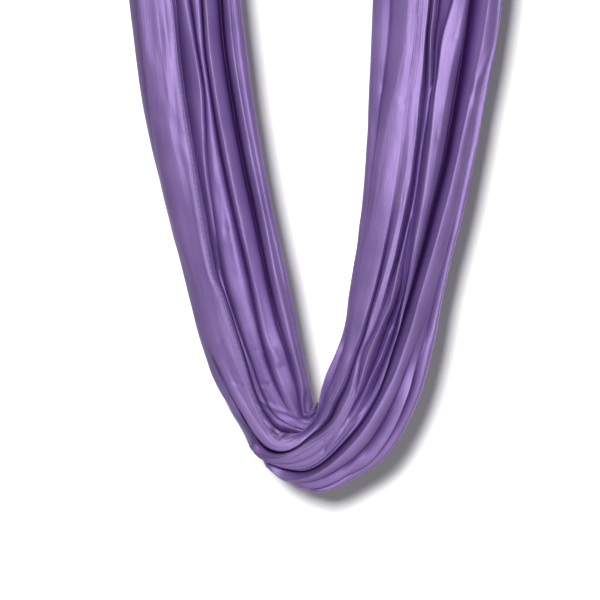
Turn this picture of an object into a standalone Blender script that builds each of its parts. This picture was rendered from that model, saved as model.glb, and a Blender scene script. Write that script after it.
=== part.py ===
"""Aerial yoga hammock: one wide cloth gathered into a U, choked onto two screw-gate carabiners.

The frame is metres with +Z up. The origin is where the left carabiner's crown bears on what holds
it. +X runs to the right carabiner and +Y away from whoever faces the front of the hammock.
"""

import math

import bmesh
import bpy
import numpy as np

# Rigging
SPAN = 0.740                 # between the two hanging points
DROP = 2.200                 # from a crown's bearing point to the lowest cloth
CLEARANCE = 0.0003           # between pieces that touch

# Carabiner frame, a bent round bar, measured to the bar's centre line where not said otherwise
BAR_DIAMETER = 0.012
INNER_LENGTH = 0.090         # crown to basket, inside
INNER_WIDTH = 0.044          # spine to gate, inside
CROWN_SPINE_RADIUS = 0.018
CROWN_GATE_RADIUS = 0.022
BASKET_RADIUS = 0.015
HINGE_DROP = 0.026           # hinge axis below the crown's bearing face
HEEL_SHOULDER = 0.0085       # from the hinge axis up to the full bar
TONGUE_THICKNESS = 0.0042
HEEL_RADIUS = 0.0046
NOSE_HALF_WIDTH = 0.0042
NOSE_HEIGHT = 0.0085         # tongue above the nose's turned shank
SHANK_DIAMETER = 0.0102
SHANK_LENGTH = 0.004

# Gate and its inner pieces, along the gate from the hinge axis down
GATE_DIAMETER = 0.0105
GATE_LENGTH = 0.0505
GATE_END_GAP = 0.0005        # gate to nose shoulder
GATE_TOP = 0.005
LATCH_REACH = 0.046
SLOT_CLEARANCE = 0.0003
HEEL_SLOT_DEPTH = 0.0066
NOSE_SLOT_START = 0.0415
BORE_DIAMETER = 0.0048
BORE_END = 0.033
COLLAR_DIAMETER = 0.0128
COLLAR_START = 0.0130
COLLAR_LENGTH = 0.0035
PIN_CLEARANCE = 0.0002
NOTCH_CLEARANCE = 0.00035    # lets the latch pin swing out of the nose
HINGE_PIN_DIAMETER = 0.0030
LATCH_PIN_DIAMETER = 0.0026
PLUNGER_DIAMETER = 0.0040
PLUNGER_LENGTH = 0.0070
PLUNGER_HEAD = 0.0025
SPRING_WIRE = 0.0006
SPRING_TURNS = 7

# Lock sleeve
SLEEVE_START = 0.0170
SLEEVE_LENGTH = 0.0240
SLEEVE_DIAMETER = 0.0152
SLEEVE_END_DIAMETER = 0.0140
FLUTES = 16
FLUTE_DEPTH = 0.0006

# Gathered end of the cloth
EYE_WIDTH = 0.028
EYE_THICKNESS = 0.014
EYE_DROP = 0.068             # from the bar's centre to the neck
STRAND_WIDTH = 0.026
STRAND_THICKNESS = 0.0210
NECK_WIDTH = 0.030
NECK_DEPTH = 0.044
WRAP_TURNS = 2.1
WRAP_HEIGHT = 0.022
WRAP_THICKNESS = 0.013
WRAP_GAP = 0.0015
TAIL_LENGTH = 0.170
TAIL_WIDTH = 0.075
TAIL_TOP_WIDTH = 0.028
TAIL_THICKNESS = 0.012
TAIL_PLEATS = 4
TAIL_PLEAT_DEPTH = 0.007
TAIL_LEAN = 0.020            # how far its end hangs away from the leg

# Sling
LEG_WIDTH = 0.200            # side to side of the gathered cloth at a middling place
LEG_DEPTH = 0.090            # front to back there
HULL_EXPONENT = 2.6          # 2 is an oval bundle, more is boxier
NECK_RELIEF = 0.35           # how much of each fold's depth is left where the cloth is choked
RINGS_PER_STRETCH = 2

# Each row is one cut across the gathered cloth, from the left neck round the seat to the right
# neck: the cut's centre across the span and down the drop, as shares of both, the way that the
# cut's outer end points in degrees (180 left, 270 down, 360 right), and its width and depth as
# shares of LEG_WIDTH and LEG_DEPTH.
CUTS = (
    (0.0743, 0.2727, 180.0, 0.750, 0.80),
    (0.1235, 0.4091, 180.0, 1.025, 0.94),
    (0.1757, 0.5545, 180.0, 1.140, 1.00),
    (0.2108, 0.6455, 180.0, 1.130, 1.00),
    (0.2649, 0.7364, 181.0, 1.070, 1.00),
    (0.3162, 0.8091, 183.0, 1.030, 1.00),
    (0.3527, 0.8636, 186.0, 0.985, 1.00),
    (0.4027, 0.9150, 193.0, 0.865, 1.02),
    (0.4351, 0.9373, 210.0, 0.770, 1.06),
    (0.4473, 0.9473, 223.0, 0.790, 1.08),
    (0.4858, 0.9591, 247.0, 0.780, 1.10),
    (0.5338, 0.9632, 271.4, 0.810, 1.10),
    (0.5865, 0.9545, 295.0, 0.835, 1.08),
    (0.6392, 0.9377, 314.0, 0.925, 1.05),
    (0.6946, 0.8991, 333.0, 0.950, 1.02),
    (0.7257, 0.8627, 348.0, 0.935, 1.00),
    (0.7500, 0.8195, 356.0, 0.960, 1.00),
    (0.7973, 0.7364, 359.0, 1.070, 1.00),
    (0.8324, 0.6455, 360.0, 1.195, 1.00),
    (0.8589, 0.5545, 360.0, 1.315, 1.00),
    (0.9000, 0.4091, 360.0, 1.160, 0.94),
    (0.9384, 0.2727, 360.0, 0.840, 0.80),
)

# Each row is one fold line, running the whole way round. Its place at the cuts numbered in
# FOLD_CUTS counts round the bundle: 0 to 1 across the front from the inner edge to the outer, 1
# to 2 back across the rear, and above 2 on the front again. Its three reliefs, for the left leg,
# the seat and the right leg, are shares of the half depth that the line lies inside the bundle.
FOLD_CUTS = (2, 5, 9, 10, 11, 13, 15, 19)
FOLDS = (
    ("front_hem", (0.60, 0.69, 0.59, 0.23, 0.06, 0.00, 0.00, 0.00), (0.05, 0.00, 0.00)),
    ("lip_crown", (0.74, 0.80, 0.66, 0.36, 0.19, 0.13, 0.10, 0.11), (0.00, 0.00, 0.08)),
    ("lip_fold", (0.88, 0.90, 0.73, 0.48, 0.32, 0.27, 0.20, 0.22), (0.06, 0.02, 0.14)),
    ("panel_crown", (0.96, 0.97, 0.77, 0.52, 0.35, 0.31, 0.27, 0.34), (0.10, 0.36, 0.00)),
    ("panel_edge", (1.00, 1.01, 0.84, 0.58, 0.42, 0.35, 0.32, 0.43), (0.00, 0.08, 0.02)),
    ("panel_recess", (1.08, 1.08, 0.90, 0.66, 0.50, 0.40, 0.36, 0.46), (0.34, 0.20, 0.48)),
    ("first_pleat", (1.16, 1.15, 0.95, 0.74, 0.57, 0.44, 0.41, 0.49), (0.00, 0.06, 0.10)),
    ("first_valley", (1.25, 1.23, 1.00, 0.82, 0.65, 0.49, 0.48, 0.54), (0.34, 0.24, 0.46)),
    ("second_pleat", (1.35, 1.32, 1.05, 0.90, 0.72, 0.53, 0.56, 0.65), (0.00, 0.12, 0.00)),
    ("deep_valley", (1.45, 1.42, 1.12, 0.95, 0.78, 0.57, 0.60, 0.76), (0.36, 0.55, 0.62)),
    ("third_pleat", (1.55, 1.52, 1.20, 0.99, 0.83, 0.66, 0.70, 0.87), (0.00, 0.00, 0.00)),
    ("outer_flank", (1.65, 1.63, 1.30, 1.08, 0.91, 0.80, 0.82, 0.93), (0.36, 0.06, 0.08)),
    ("outer_valley", (1.75, 1.74, 1.42, 1.20, 0.98, 0.90, 0.90, 0.965), (0.00, 0.30, 0.36)),
    ("outer_strip", (1.85, 1.85, 1.55, 1.32, 1.07, 0.97, 0.96, 1.00), (0.34, 0.04, 0.04)),
    ("rear_pleat_1", (1.94, 1.94, 1.68, 1.45, 1.20, 1.10, 1.08, 1.10), (0.00, 0.00, 0.00)),
    ("rear_valley_1", (2.00, 2.00, 1.80, 1.58, 1.34, 1.24, 1.20, 1.20), (0.30, 0.30, 0.36)),
    ("inner_ridge", (2.09, 2.08, 1.92, 1.70, 1.46, 1.36, 1.31, 1.31), (0.35, 0.04, 0.00)),
    ("trough_valley", (2.20, 2.20, 2.00, 1.80, 1.57, 1.47, 1.42, 1.42), (1.00, 0.40, 0.36)),
    ("trough_pleat_1", (2.29, 2.30, 2.10, 1.90, 1.67, 1.57, 1.53, 1.53), (0.58, 0.30, 0.00)),
    ("trough_crease_1", (2.34, 2.38, 2.20, 1.99, 1.76, 1.67, 1.63, 1.63), (0.85, 0.50, 0.36)),
    ("trough_pleat_2", (2.386, 2.46, 2.30, 2.05, 1.84, 1.76, 1.73, 1.73), (0.58, 0.40, 0.00)),
    ("trough_crease_2", (2.434, 2.53, 2.38, 2.10, 1.91, 1.84, 1.82, 1.82), (0.85, 0.60, 0.36)),
    ("trough_pleat_3", (2.474, 2.59, 2.46, 2.15, 1.97, 1.91, 1.90, 1.90), (0.55, 0.45, 0.00)),
    ("trough_recess", (2.55, 2.65, 2.54, 2.20, 2.02, 1.96, 1.96, 1.96), (1.05, 0.80, 0.20)),
)


def pchip(at, knots, values):
    """Values between the knots on one smooth curve that never overshoots them."""
    knots = np.asarray(knots, float)
    values = np.asarray(values, float)
    step = np.diff(knots)
    rise = np.diff(values) / step
    slope = np.zeros(len(knots))
    same = rise[:-1] * rise[1:] > 0
    before = 2 * step[1:] + step[:-1]
    after = step[1:] + 2 * step[:-1]
    with np.errstate(divide="ignore", invalid="ignore"):
        mean = (before + after) / (before / rise[:-1] + after / rise[1:])
    slope[1:-1] = np.where(same, mean, 0.0)
    slope[0] = rise[0]
    slope[-1] = rise[-1]
    k = np.clip(np.searchsorted(knots, at, side="right") - 1, 0, len(step) - 1)
    s = (at - knots[k]) / step[k]
    return (
        values[k] * (1 + 2 * s) * (1 - s) ** 2
        + values[k + 1] * s**2 * (3 - 2 * s)
        + step[k] * s * (1 - s) * (slope[k] * (1 - s) - slope[k + 1] * s)
    )


def least_gap(points, diameter, turn):
    """Least free space between a wound tube and itself, leaving out neighbours within half a turn."""
    apart = np.linalg.norm(points[:, None] - points[None, :], axis=2)
    along = np.abs(np.subtract.outer(np.arange(len(points)), np.arange(len(points))))
    return apart[along > turn / 2].min() - diameter


def material(name, colour, roughness, metallic):
    """A plain finish: base colour, roughness and metallic value."""
    made = bpy.data.materials.new(name)
    made.use_nodes = True
    shader = made.node_tree.nodes["Principled BSDF"]
    shader.inputs["Base Color"].default_value = (*colour, 1.0)
    shader.inputs["Roughness"].default_value = roughness
    shader.inputs["Metallic"].default_value = metallic
    return made


def mesh_from(name, bm, finish, sharp=math.radians(35)):
    """Closes a bmesh into a smooth-shaded mesh with its faces pointing out."""
    bmesh.ops.remove_doubles(bm, verts=bm.verts, dist=1e-7)
    bmesh.ops.recalc_face_normals(bm, faces=bm.faces)
    mesh = bpy.data.meshes.new(name)
    bm.to_mesh(mesh)
    bm.free()
    mesh.shade_smooth()
    mesh.set_sharp_from_angle(angle=sharp)
    mesh.materials.append(finish)
    return mesh


def skin(rings, ring_of_rings=False):
    """Joins rings of points, one after another, into a tube with flat ends, or into a closed ring."""
    bm = bmesh.new()
    rows = [[bm.verts.new(point) for point in ring] for ring in rings]
    pairs = list(zip(rows, rows[1:]))
    if ring_of_rings:
        pairs.append((rows[-1], rows[0]))
    else:
        bm.faces.new(rows[0])
        bm.faces.new(rows[-1])
    for first, second in pairs:
        for i in range(len(first)):
            j = (i + 1) % len(first)
            bm.faces.new((first[i], first[j], second[j], second[i]))
    return bm


def circle(sides):
    angles = np.arange(sides) * 2 * math.pi / sides
    return np.cos(angles), np.sin(angles)


def turned(profile, sides):
    """A solid turned about Z from (radius, height) pairs, top to bottom."""
    c, s = circle(sides)
    return skin([np.stack([r * c, r * s, np.full(sides, z)], 1) for r, z in profile])


def block(low, high):
    bm = bmesh.new()
    bmesh.ops.create_cube(bm, size=1.0)
    low = np.asarray(low)
    high = np.asarray(high)
    for vert in bm.verts:
        vert.co = (low + high) / 2 + np.asarray(vert.co) * (high - low)
    return bm


def plate(outline, thickness):
    """An outline of (x, z) points given a thickness about the XZ plane."""
    sides = [[(x, y, z) for x, z in outline] for y in (-thickness / 2, thickness / 2)]
    return skin(sides)


def cross_pin(radius, half_length, x, z, sides=16):
    """A round bar along Y through (x, z)."""
    c, s = circle(sides)
    return skin(
        [
            np.stack([x + radius * c, np.full(sides, y), z + radius * s], 1)
            for y in (-half_length, half_length)
        ]
    )


def combine(bm, others, operation, finish):
    """Unites a shape with others, or cuts them from it, and returns the result as a bmesh."""
    base = bpy.data.objects.new("base", mesh_from("base", bm, finish))
    bpy.context.scene.collection.objects.link(base)
    tools = []
    for index, other in enumerate(others):
        tool = bpy.data.objects.new(f"tool_{index}", mesh_from("tool", other, finish))
        tool.hide_render = True
        tool.display_type = "WIRE"
        bpy.context.scene.collection.objects.link(tool)
        step = base.modifiers.new(f"step_{index}", "BOOLEAN")
        step.operation = operation
        step.solver = "EXACT"
        step.object = tool
        tools.append(tool)
    graph = bpy.context.evaluated_depsgraph_get()
    result = bmesh.new()
    result.from_mesh(base.evaluated_get(graph).to_mesh())
    for thing in (*tools, base):
        bpy.data.objects.remove(thing)
    return result


def place(name, data, parent, location=(0.0, 0.0, 0.0)):
    """One named piece, held by its parent."""
    obj = bpy.data.objects.new(name, data)
    bpy.context.scene.collection.objects.link(obj)
    obj.parent = parent
    obj.location = location
    return obj


def pivot(name, parent, location, turn=0.0):
    """An empty that carries pieces."""
    empty = place(name, None, parent, location)
    empty.rotation_euler = (0.0, 0.0, turn)
    return empty


BAR_RADIUS = BAR_DIAMETER / 2
SIDE = INNER_WIDTH / 2 + BAR_RADIUS              # bar's centre line from the carabiner's middle
CROWN_Z = BAR_RADIUS
BASKET_Z = -(INNER_LENGTH + BAR_RADIUS)
HEEL_Z = -HINGE_DROP + HEEL_SHOULDER
NOSE_Z = -HINGE_DROP - GATE_LENGTH - GATE_END_GAP  # top of the nose's shank
NOSE_TOP = NOSE_Z + NOSE_HEIGHT
LATCH_Z = -HINGE_DROP - LATCH_REACH
NECK_TOP = BASKET_Z - EYE_DROP - CLEARANCE
WRAP_PITCH = WRAP_HEIGHT + WRAP_GAP
WRAP_TOP = NECK_TOP - WRAP_HEIGHT / 2 - 2 * CLEARANCE
WRAP_END = WRAP_TOP - WRAP_TURNS * WRAP_PITCH
NECK_END = WRAP_END - WRAP_HEIGHT / 2
TAIL_TOP = NECK_END - 2 * CLEARANCE


def arc(centre, radius, start, end, steps=6):
    angles = np.radians(np.linspace(start, end, steps + 1))
    return [(centre[0] + radius * math.cos(a), centre[1] + radius * math.sin(a)) for a in angles]


def bar_route():
    """The bar's centre line from the heel over the crown, down the spine and up to the nose."""
    crown_gate = (SIDE - CROWN_GATE_RADIUS, CROWN_Z - CROWN_GATE_RADIUS)
    crown_spine = (-SIDE + CROWN_SPINE_RADIUS, CROWN_Z - CROWN_SPINE_RADIUS)
    basket_spine = (-SIDE + BASKET_RADIUS, BASKET_Z + BASKET_RADIUS)
    basket_gate = (SIDE - BASKET_RADIUS, BASKET_Z + BASKET_RADIUS)
    return (
        [(SIDE, HEEL_Z)]
        + arc(crown_gate, CROWN_GATE_RADIUS, 0, 90)
        + arc(crown_spine, CROWN_SPINE_RADIUS, 90, 180)
        + arc(basket_spine, BASKET_RADIUS, 180, 270)
        + arc(basket_gate, BASKET_RADIUS, 270, 360)
    )


def bar_rings(route, radius, sides=14):
    """Circles square to a route in the XZ plane."""
    route = np.asarray(route)
    ahead = np.gradient(route, axis=0)
    ahead /= np.linalg.norm(ahead, axis=1)[:, None]
    c, s = circle(sides)
    rings = []
    for (x, z), (dx, dz) in zip(route, ahead):
        rings.append(np.stack([x + radius * c * dz, radius * s, z - radius * c * dx], 1))
    return rings


def shank_rings(sides=14):
    """The nose's turned shank, stepped down from the bar so that the sleeve can lock over it."""
    c, s = circle(sides)
    shank = SHANK_DIAMETER / 2
    steps = ((BAR_RADIUS, NOSE_Z - SHANK_LENGTH), (shank, NOSE_Z - SHANK_LENGTH), (shank, NOSE_Z))
    return [np.stack([SIDE + r * c, r * s, np.full(sides, z)], 1) for r, z in steps]


def heel_outline():
    """The heel's tongue, round about the hinge axis."""
    foot = arc((SIDE, -HINGE_DROP), HEEL_RADIUS, 180, 360, 10)
    top = HEEL_Z + BAR_RADIUS / 3
    return [*foot, (SIDE + HEEL_RADIUS, top), (SIDE - HEEL_RADIUS, top)]


def nose_outline():
    """The nose's tongue, with the notch that takes the latch pin from inside the carabiner."""
    half = NOSE_HALF_WIDTH
    round_off = half / 3
    notch = LATCH_PIN_DIAMETER / 2 + NOTCH_CLEARANCE
    base = NOSE_Z - SHANK_LENGTH / 2
    corners = arc((SIDE + half - round_off, NOSE_TOP - round_off), round_off, 0, 90, 3)
    corners += arc((SIDE - half + round_off, NOSE_TOP - round_off), round_off, 90, 180, 3)
    seat = arc((SIDE, LATCH_Z), notch, 90, -90, 8)
    mouth = [(SIDE - half, LATCH_Z + notch), *seat, (SIDE - half, LATCH_Z - notch)]
    return [(SIDE - half, base), (SIDE + half, base), *corners, *mouth]


def frame_mesh(finish):
    bar = skin(bar_rings(bar_route(), BAR_RADIUS)[:-1] + shank_rings())
    tongues = [plate(heel_outline(), TONGUE_THICKNESS), plate(nose_outline(), TONGUE_THICKNESS)]
    whole = combine(bar, tongues, "UNION", finish)
    hole = cross_pin(HINGE_PIN_DIAMETER / 2 + PIN_CLEARANCE, BAR_RADIUS, SIDE, -HINGE_DROP)
    return mesh_from("carabiner_frame", combine(whole, [hole], "DIFFERENCE", finish), finish)


def gate_mesh(finish):
    """The gate about its hinge axis: a collared tube, slotted for heel and nose and bored."""
    radius = GATE_DIAMETER / 2
    collar = COLLAR_DIAMETER / 2
    bevel = radius / 6
    collar_end = COLLAR_START + COLLAR_LENGTH
    body = turned(
        (
            (radius - bevel, GATE_TOP),
            (radius, GATE_TOP - bevel),
            (radius, -COLLAR_START + bevel),
            (collar, -COLLAR_START),
            (collar, -collar_end),
            (radius, -collar_end),
            (radius, -GATE_LENGTH + bevel),
            (radius - bevel, -GATE_LENGTH),
        ),
        20,
    )
    past = BAR_DIAMETER
    slot = TONGUE_THICKNESS / 2 + SLOT_CLEARANCE
    heel_slot = block((-past, -slot, -HEEL_SLOT_DEPTH), (past, slot, past))
    nose_slot = block((-past, -slot, -GATE_LENGTH - past), (past, slot, -NOSE_SLOT_START))
    bore = turned(((BORE_DIAMETER / 2, 0.0), (BORE_DIAMETER / 2, -BORE_END)), 12)
    hinge_hole = cross_pin(HINGE_PIN_DIAMETER / 2 + PIN_CLEARANCE, past, 0.0, 0.0)
    latch_hole = cross_pin(LATCH_PIN_DIAMETER / 2 + PIN_CLEARANCE, past, 0.0, -LATCH_REACH, 12)
    cuts = [heel_slot, nose_slot, bore, hinge_hole, latch_hole]
    return mesh_from("carabiner_gate", combine(body, cuts, "DIFFERENCE", finish), finish)


def sleeve_mesh(finish):
    """The lock sleeve about the gate's axis, its top at the origin, with flutes for the fingers."""
    per_flute = 3
    sides = FLUTES * per_flute
    c, s = circle(sides)
    dip = FLUTE_DEPTH * (np.arange(sides) % per_flute == 0)
    bore = GATE_DIAMETER / 2 + CLEARANCE
    end = SLEEVE_END_DIAMETER / 2
    full = SLEEVE_DIAMETER / 2
    rim = (full - end) * 2
    levels = (
        (end, 0.0, 0.0),
        (full, -rim, 0.0),
        (full, -2 * rim, 0.0),
        (full, -3 * rim, 1.0),
        (full, -SLEEVE_LENGTH + 3 * rim, 1.0),
        (full, -SLEEVE_LENGTH + 2 * rim, 0.0),
        (full, -SLEEVE_LENGTH + rim, 0.0),
        (end, -SLEEVE_LENGTH, 0.0),
        (bore, -SLEEVE_LENGTH, 0.0),
        (bore, 0.0, 0.0),
    )
    rings = []
    for radius, z, fluted in levels:
        r = radius - fluted * dip
        rings.append(np.stack([r * c, r * s, np.full(sides, z)], 1))
    return mesh_from("lock_sleeve", skin(rings, ring_of_rings=True), finish, math.radians(25))


def plunger_mesh(finish):
    """The plunger about the hinge axis: a head under the heel and a stem inside the spring."""
    top = -(HEEL_RADIUS + CLEARANCE)
    head = PLUNGER_DIAMETER / 2
    stem = head / 2
    profile = (
        (head * 0.6, top),
        (head, top - head * 0.3),
        (head, top - PLUNGER_HEAD),
        (stem, top - PLUNGER_HEAD),
        (stem, top - PLUNGER_LENGTH),
    )
    return mesh_from("gate_plunger", turned(profile, 12), finish)


def spring_curve(finish):
    """The gate's coil spring, from under the plunger's head to the end of the bore."""
    top = -(HEEL_RADIUS + PLUNGER_HEAD + 2 * CLEARANCE + SPRING_WIRE / 2)
    end = -(BORE_END - CLEARANCE - SPRING_WIRE / 2)
    radius = BORE_DIAMETER / 2 - CLEARANCE - SPRING_WIRE / 2
    per_turn = 9
    count = SPRING_TURNS * per_turn + 1
    angles = np.arange(count) * 2 * math.pi / per_turn
    z = np.linspace(top, end, count)
    points = np.stack([radius * np.cos(angles), radius * np.sin(angles), z], 1)
    gap = least_gap(points, SPRING_WIRE, per_turn)
    print(f"gate_spring: {SPRING_TURNS} turns, least gap to itself {gap * 1000:.2f} mm")
    curve = bpy.data.curves.new("gate_spring", "CURVE")
    curve.dimensions = "3D"
    curve.bevel_depth = SPRING_WIRE / 2
    curve.bevel_resolution = 1
    curve.use_fill_caps = True
    spline = curve.splines.new("POLY")
    spline.points.add(count - 1)
    spline.points.foreach_set("co", np.column_stack([points, np.ones(count)]).ravel())
    curve.materials.append(finish)
    return curve


def rope_section(sides, lobes=5, relief=0.10):
    """The outline of a gathered cloth, an oval of unit half sizes with shallow folds in it."""
    angles = (np.arange(sides) + 0.5) * 2 * math.pi / sides
    size = 1 - relief * (0.5 - 0.5 * np.cos(lobes * angles))
    return size * np.cos(angles), size * np.sin(angles)


def eye_mesh(finish):
    """The cloth's eye about the basket's axis: over the bar and down to the neck on both sides."""
    radius = BAR_RADIUS + 2 * CLEARANCE + EYE_THICKNESS / 2
    foot = STRAND_THICKNESS / 2 + CLEARANCE
    down = np.linspace(-EYE_DROP, 0.0, 8)[:-1]
    share = -down / EYE_DROP
    share = share * share * (3 - 2 * share)
    over = np.radians(np.linspace(0, 180, 11))
    side_y = radius + (foot - radius) * share
    y = np.concatenate([side_y, radius * np.cos(over), -side_y[::-1]])
    z = np.concatenate([down, radius * np.sin(over), down[::-1]])
    turn = np.concatenate([np.zeros(len(down)), over, np.full(len(down), math.pi)])
    spread = np.concatenate([share, np.zeros(len(over)), share[::-1]])
    wide = EYE_WIDTH + (STRAND_WIDTH - EYE_WIDTH) * spread
    thick = EYE_THICKNESS + (STRAND_THICKNESS - EYE_THICKNESS) * spread
    c, s = rope_section(14)
    rings = []
    for i in range(len(y)):
        outward = s * thick[i] / 2
        rings.append(
            np.stack(
                [
                    c * wide[i] / 2,
                    y[i] + outward * math.cos(turn[i]),
                    z[i] + outward * math.sin(turn[i]),
                ],
                1,
            )
        )
    return mesh_from("cloth_eye", skin(rings), finish, math.radians(60))


def wrap_mesh(finish):
    """The gathered end wound round the neck, from behind it, its places measured from the crown."""
    per_turn = 22
    count = round(WRAP_TURNS * per_turn) + 1
    angles = math.pi / 2 + np.linspace(0, WRAP_TURNS * 2 * math.pi, count)
    z = np.linspace(WRAP_TOP, WRAP_END, count)
    half_x = NECK_WIDTH / 2 + 2 * CLEARANCE + WRAP_THICKNESS / 2
    half_y = NECK_DEPTH / 2 + 2 * CLEARANCE + WRAP_THICKNESS / 2
    centre = np.stack([half_x * np.cos(angles), half_y * np.sin(angles), z], 1)
    out = np.stack([half_y * np.cos(angles), half_x * np.sin(angles)], 1)
    out /= np.linalg.norm(out, axis=1)[:, None]
    gap = least_gap(centre, WRAP_HEIGHT, per_turn)
    print(f"choke_wrap: {WRAP_TURNS} turns, least gap to itself {gap * 1000:.2f} mm")
    c, s = rope_section(12, lobes=4)
    rings = []
    for (x, y, height), (nx, ny) in zip(centre, out):
        across = c * WRAP_THICKNESS / 2
        rings.append(
            np.stack([x + across * nx, y + across * ny, height + s * WRAP_HEIGHT / 2], 1)
        )
    return mesh_from("choke_wrap", skin(rings), finish, math.radians(60))


def tail_mesh(finish):
    """The cloth's free end below the wrap, behind the leg, opening into soft pleats."""
    across = np.linspace(-1, 1, 2 * TAIL_PLEATS + 3)
    rings = []
    for share in np.linspace(0, 1, 9):
        opened = share * (2 - share)
        half = (TAIL_TOP_WIDTH + (TAIL_WIDTH - TAIL_TOP_WIDTH) * opened) / 2
        thick = TAIL_THICKNESS * (1 - 0.35 * share) / 2 * (1 - 0.6 * across**4)
        wave = TAIL_PLEAT_DEPTH * opened * np.cos(math.pi * (TAIL_PLEATS + 0.5) * across)
        y = NECK_DEPTH / 2 + CLEARANCE + TAIL_THICKNESS / 2 + TAIL_LEAN * share
        z = np.full(len(across), TAIL_TOP - TAIL_LENGTH * share)
        rear = np.stack([half * across, y + wave + thick, z], 1)
        front = np.stack([half * across, y + wave - thick, z], 1)
        rings.append(np.concatenate([rear, front[::-1]]))
    return mesh_from("cloth_tail", skin(rings), finish, math.radians(60))


def sling_rings():
    """Rings round the gathered cloth, each through every fold line, from neck to neck."""
    rows = [(0.0, z, 180.0, NECK_WIDTH, NECK_DEPTH) for z in (NECK_TOP, NECK_END)]
    for over, down, turn, wide, deep in CUTS:
        rows.append((over * SPAN, -down * DROP, turn, wide * LEG_WIDTH, deep * LEG_DEPTH))
    rows += [(SPAN, z, 360.0, NECK_WIDTH, NECK_DEPTH) for z in (NECK_END, NECK_TOP)]
    rows = np.array(rows)
    run = np.concatenate([[0], np.cumsum(np.linalg.norm(np.diff(rows[:, :2], axis=0), axis=1))])
    at = np.concatenate(
        [
            np.linspace(run[i], run[i + 1], RINGS_PER_STRETCH, endpoint=False)
            for i in range(len(run) - 1)
        ]
        + [run[-1:]]
    )
    x, z, turn, wide, deep = (pchip(at, run, rows[:, i]) for i in range(5))
    necks = (0, 1, len(run) - 2, len(run) - 1)
    corner = pchip(at, run, np.where(np.isin(np.arange(len(run)), necks), 2.0, HULL_EXPONENT))
    out = np.stack([np.cos(np.radians(turn)), np.sin(np.radians(turn))], 1)
    lines = []
    place_knots = run[[0, 1, *(2 + np.array(FOLD_CUTS)), len(run) - 2, len(run) - 1]]
    left_leg, seat, right_leg = FOLD_CUTS[1], FOLD_CUTS[3], FOLD_CUTS[6]
    relief_cuts = np.array([FOLD_CUTS[0], left_leg, seat, right_leg, FOLD_CUTS[-1]])
    relief_knots = run[[0, 1, *(2 + relief_cuts), len(run) - 2, len(run) - 1]]
    for index, (_, places, (in_left, in_seat, in_right)) in enumerate(FOLDS):
        even = 2 * index / len(FOLDS)
        start = FOLDS[0][1][0] + even
        end = FOLDS[0][1][-1] + even
        spot = pchip(at, place_knots, [start, start, *places, end, end])
        choked = (NECK_RELIEF * in_left, NECK_RELIEF * in_right)
        inside = pchip(
            at,
            relief_knots,
            [choked[0]] * 2 + [in_left, in_left, in_seat, in_right, in_right] + [choked[1]] * 2,
        )
        spot = np.mod(spot, 2.0)
        front = spot < 1
        share = np.where(front, spot, 2 - spot)
        bulge = (1 - np.abs(2 * share - 1) ** corner) ** (1 / corner)
        y = np.where(front, -1, 1) * bulge * (1 - inside) * deep / 2
        offset = (share - 0.5) * wide
        lines.append(np.stack([x + offset * out[:, 0], y, z + offset * out[:, 1]], 1))
    return np.stack(lines, 1)


def build_carabiner(side, x, turn, meshes):
    """One carabiner, hanging from its crown, with its gate and lock sleeve."""
    carabiner = pivot(f"{side}_carabiner", None, (x, 0.0, 0.0), turn)
    hinge = pivot(f"{side}_gate_hinge", carabiner, (SIDE, 0.0, -HINGE_DROP))
    place(f"{side}_carabiner_frame", meshes["frame"], carabiner)
    place(f"{side}_gate_hinge_pin", meshes["hinge_pin"], hinge)
    place(f"{side}_carabiner_gate", meshes["gate"], hinge)
    place(f"{side}_gate_latch_pin", meshes["latch_pin"], hinge, (0.0, 0.0, -LATCH_REACH))
    place(f"{side}_gate_plunger", meshes["plunger"], hinge)
    place(f"{side}_gate_spring", meshes["spring"], hinge)
    place(f"{side}_lock_sleeve", meshes["sleeve"], hinge, (0.0, 0.0, -SLEEVE_START))


def build_cloth_end(side, x, sling, meshes):
    """One gathered end of the cloth: eye, wrap and tail, with the eye about the basket's axis."""
    place(f"{side}_cloth_eye", meshes["eye"], sling, (x, 0.0, 0.0))
    place(f"{side}_choke_wrap", meshes["wrap"], sling, (x, 0.0, -BASKET_Z))
    place(f"{side}_cloth_tail", meshes["tail"], sling, (x, 0.0, -BASKET_Z))


def main():
    for thing in list(bpy.data.objects):
        bpy.data.objects.remove(thing)
    cloth = material("nylon_tricot", (0.27, 0.16, 0.52), 0.42, 0.0)
    aluminium = material("polished_aluminium", (0.80, 0.81, 0.83), 0.25, 1.0)
    sleeve_finish = material("anodised_aluminium", (0.10, 0.10, 0.11), 0.40, 1.0)
    steel = material("stainless_steel", (0.62, 0.62, 0.64), 0.30, 1.0)

    pin_half = GATE_DIAMETER / 2 - PIN_CLEARANCE
    hinge_pin = cross_pin(HINGE_PIN_DIAMETER / 2, pin_half, 0.0, 0.0)
    latch_pin = cross_pin(LATCH_PIN_DIAMETER / 2, pin_half, 0.0, 0.0, 12)
    carabiner = {
        "frame": frame_mesh(aluminium),
        "gate": gate_mesh(aluminium),
        "sleeve": sleeve_mesh(sleeve_finish),
        "hinge_pin": mesh_from("gate_hinge_pin", hinge_pin, steel),
        "latch_pin": mesh_from("gate_latch_pin", latch_pin, steel),
        "plunger": plunger_mesh(steel),
        "spring": spring_curve(steel),
    }
    build_carabiner("left", 0.0, math.pi, carabiner)
    build_carabiner("right", SPAN, 0.0, carabiner)

    sling = pivot("sling_swing", None, (0.0, 0.0, BASKET_Z))
    cloth_end = {
        "eye": eye_mesh(cloth),
        "wrap": wrap_mesh(cloth),
        "tail": tail_mesh(cloth),
    }
    build_cloth_end("left", 0.0, sling, cloth_end)
    build_cloth_end("right", SPAN, sling, cloth_end)
    body = mesh_from("sling_cloth", skin(sling_rings()), cloth, math.radians(50))
    place("sling_cloth", body, sling, (0.0, 0.0, -BASKET_Z))


main()
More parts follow.
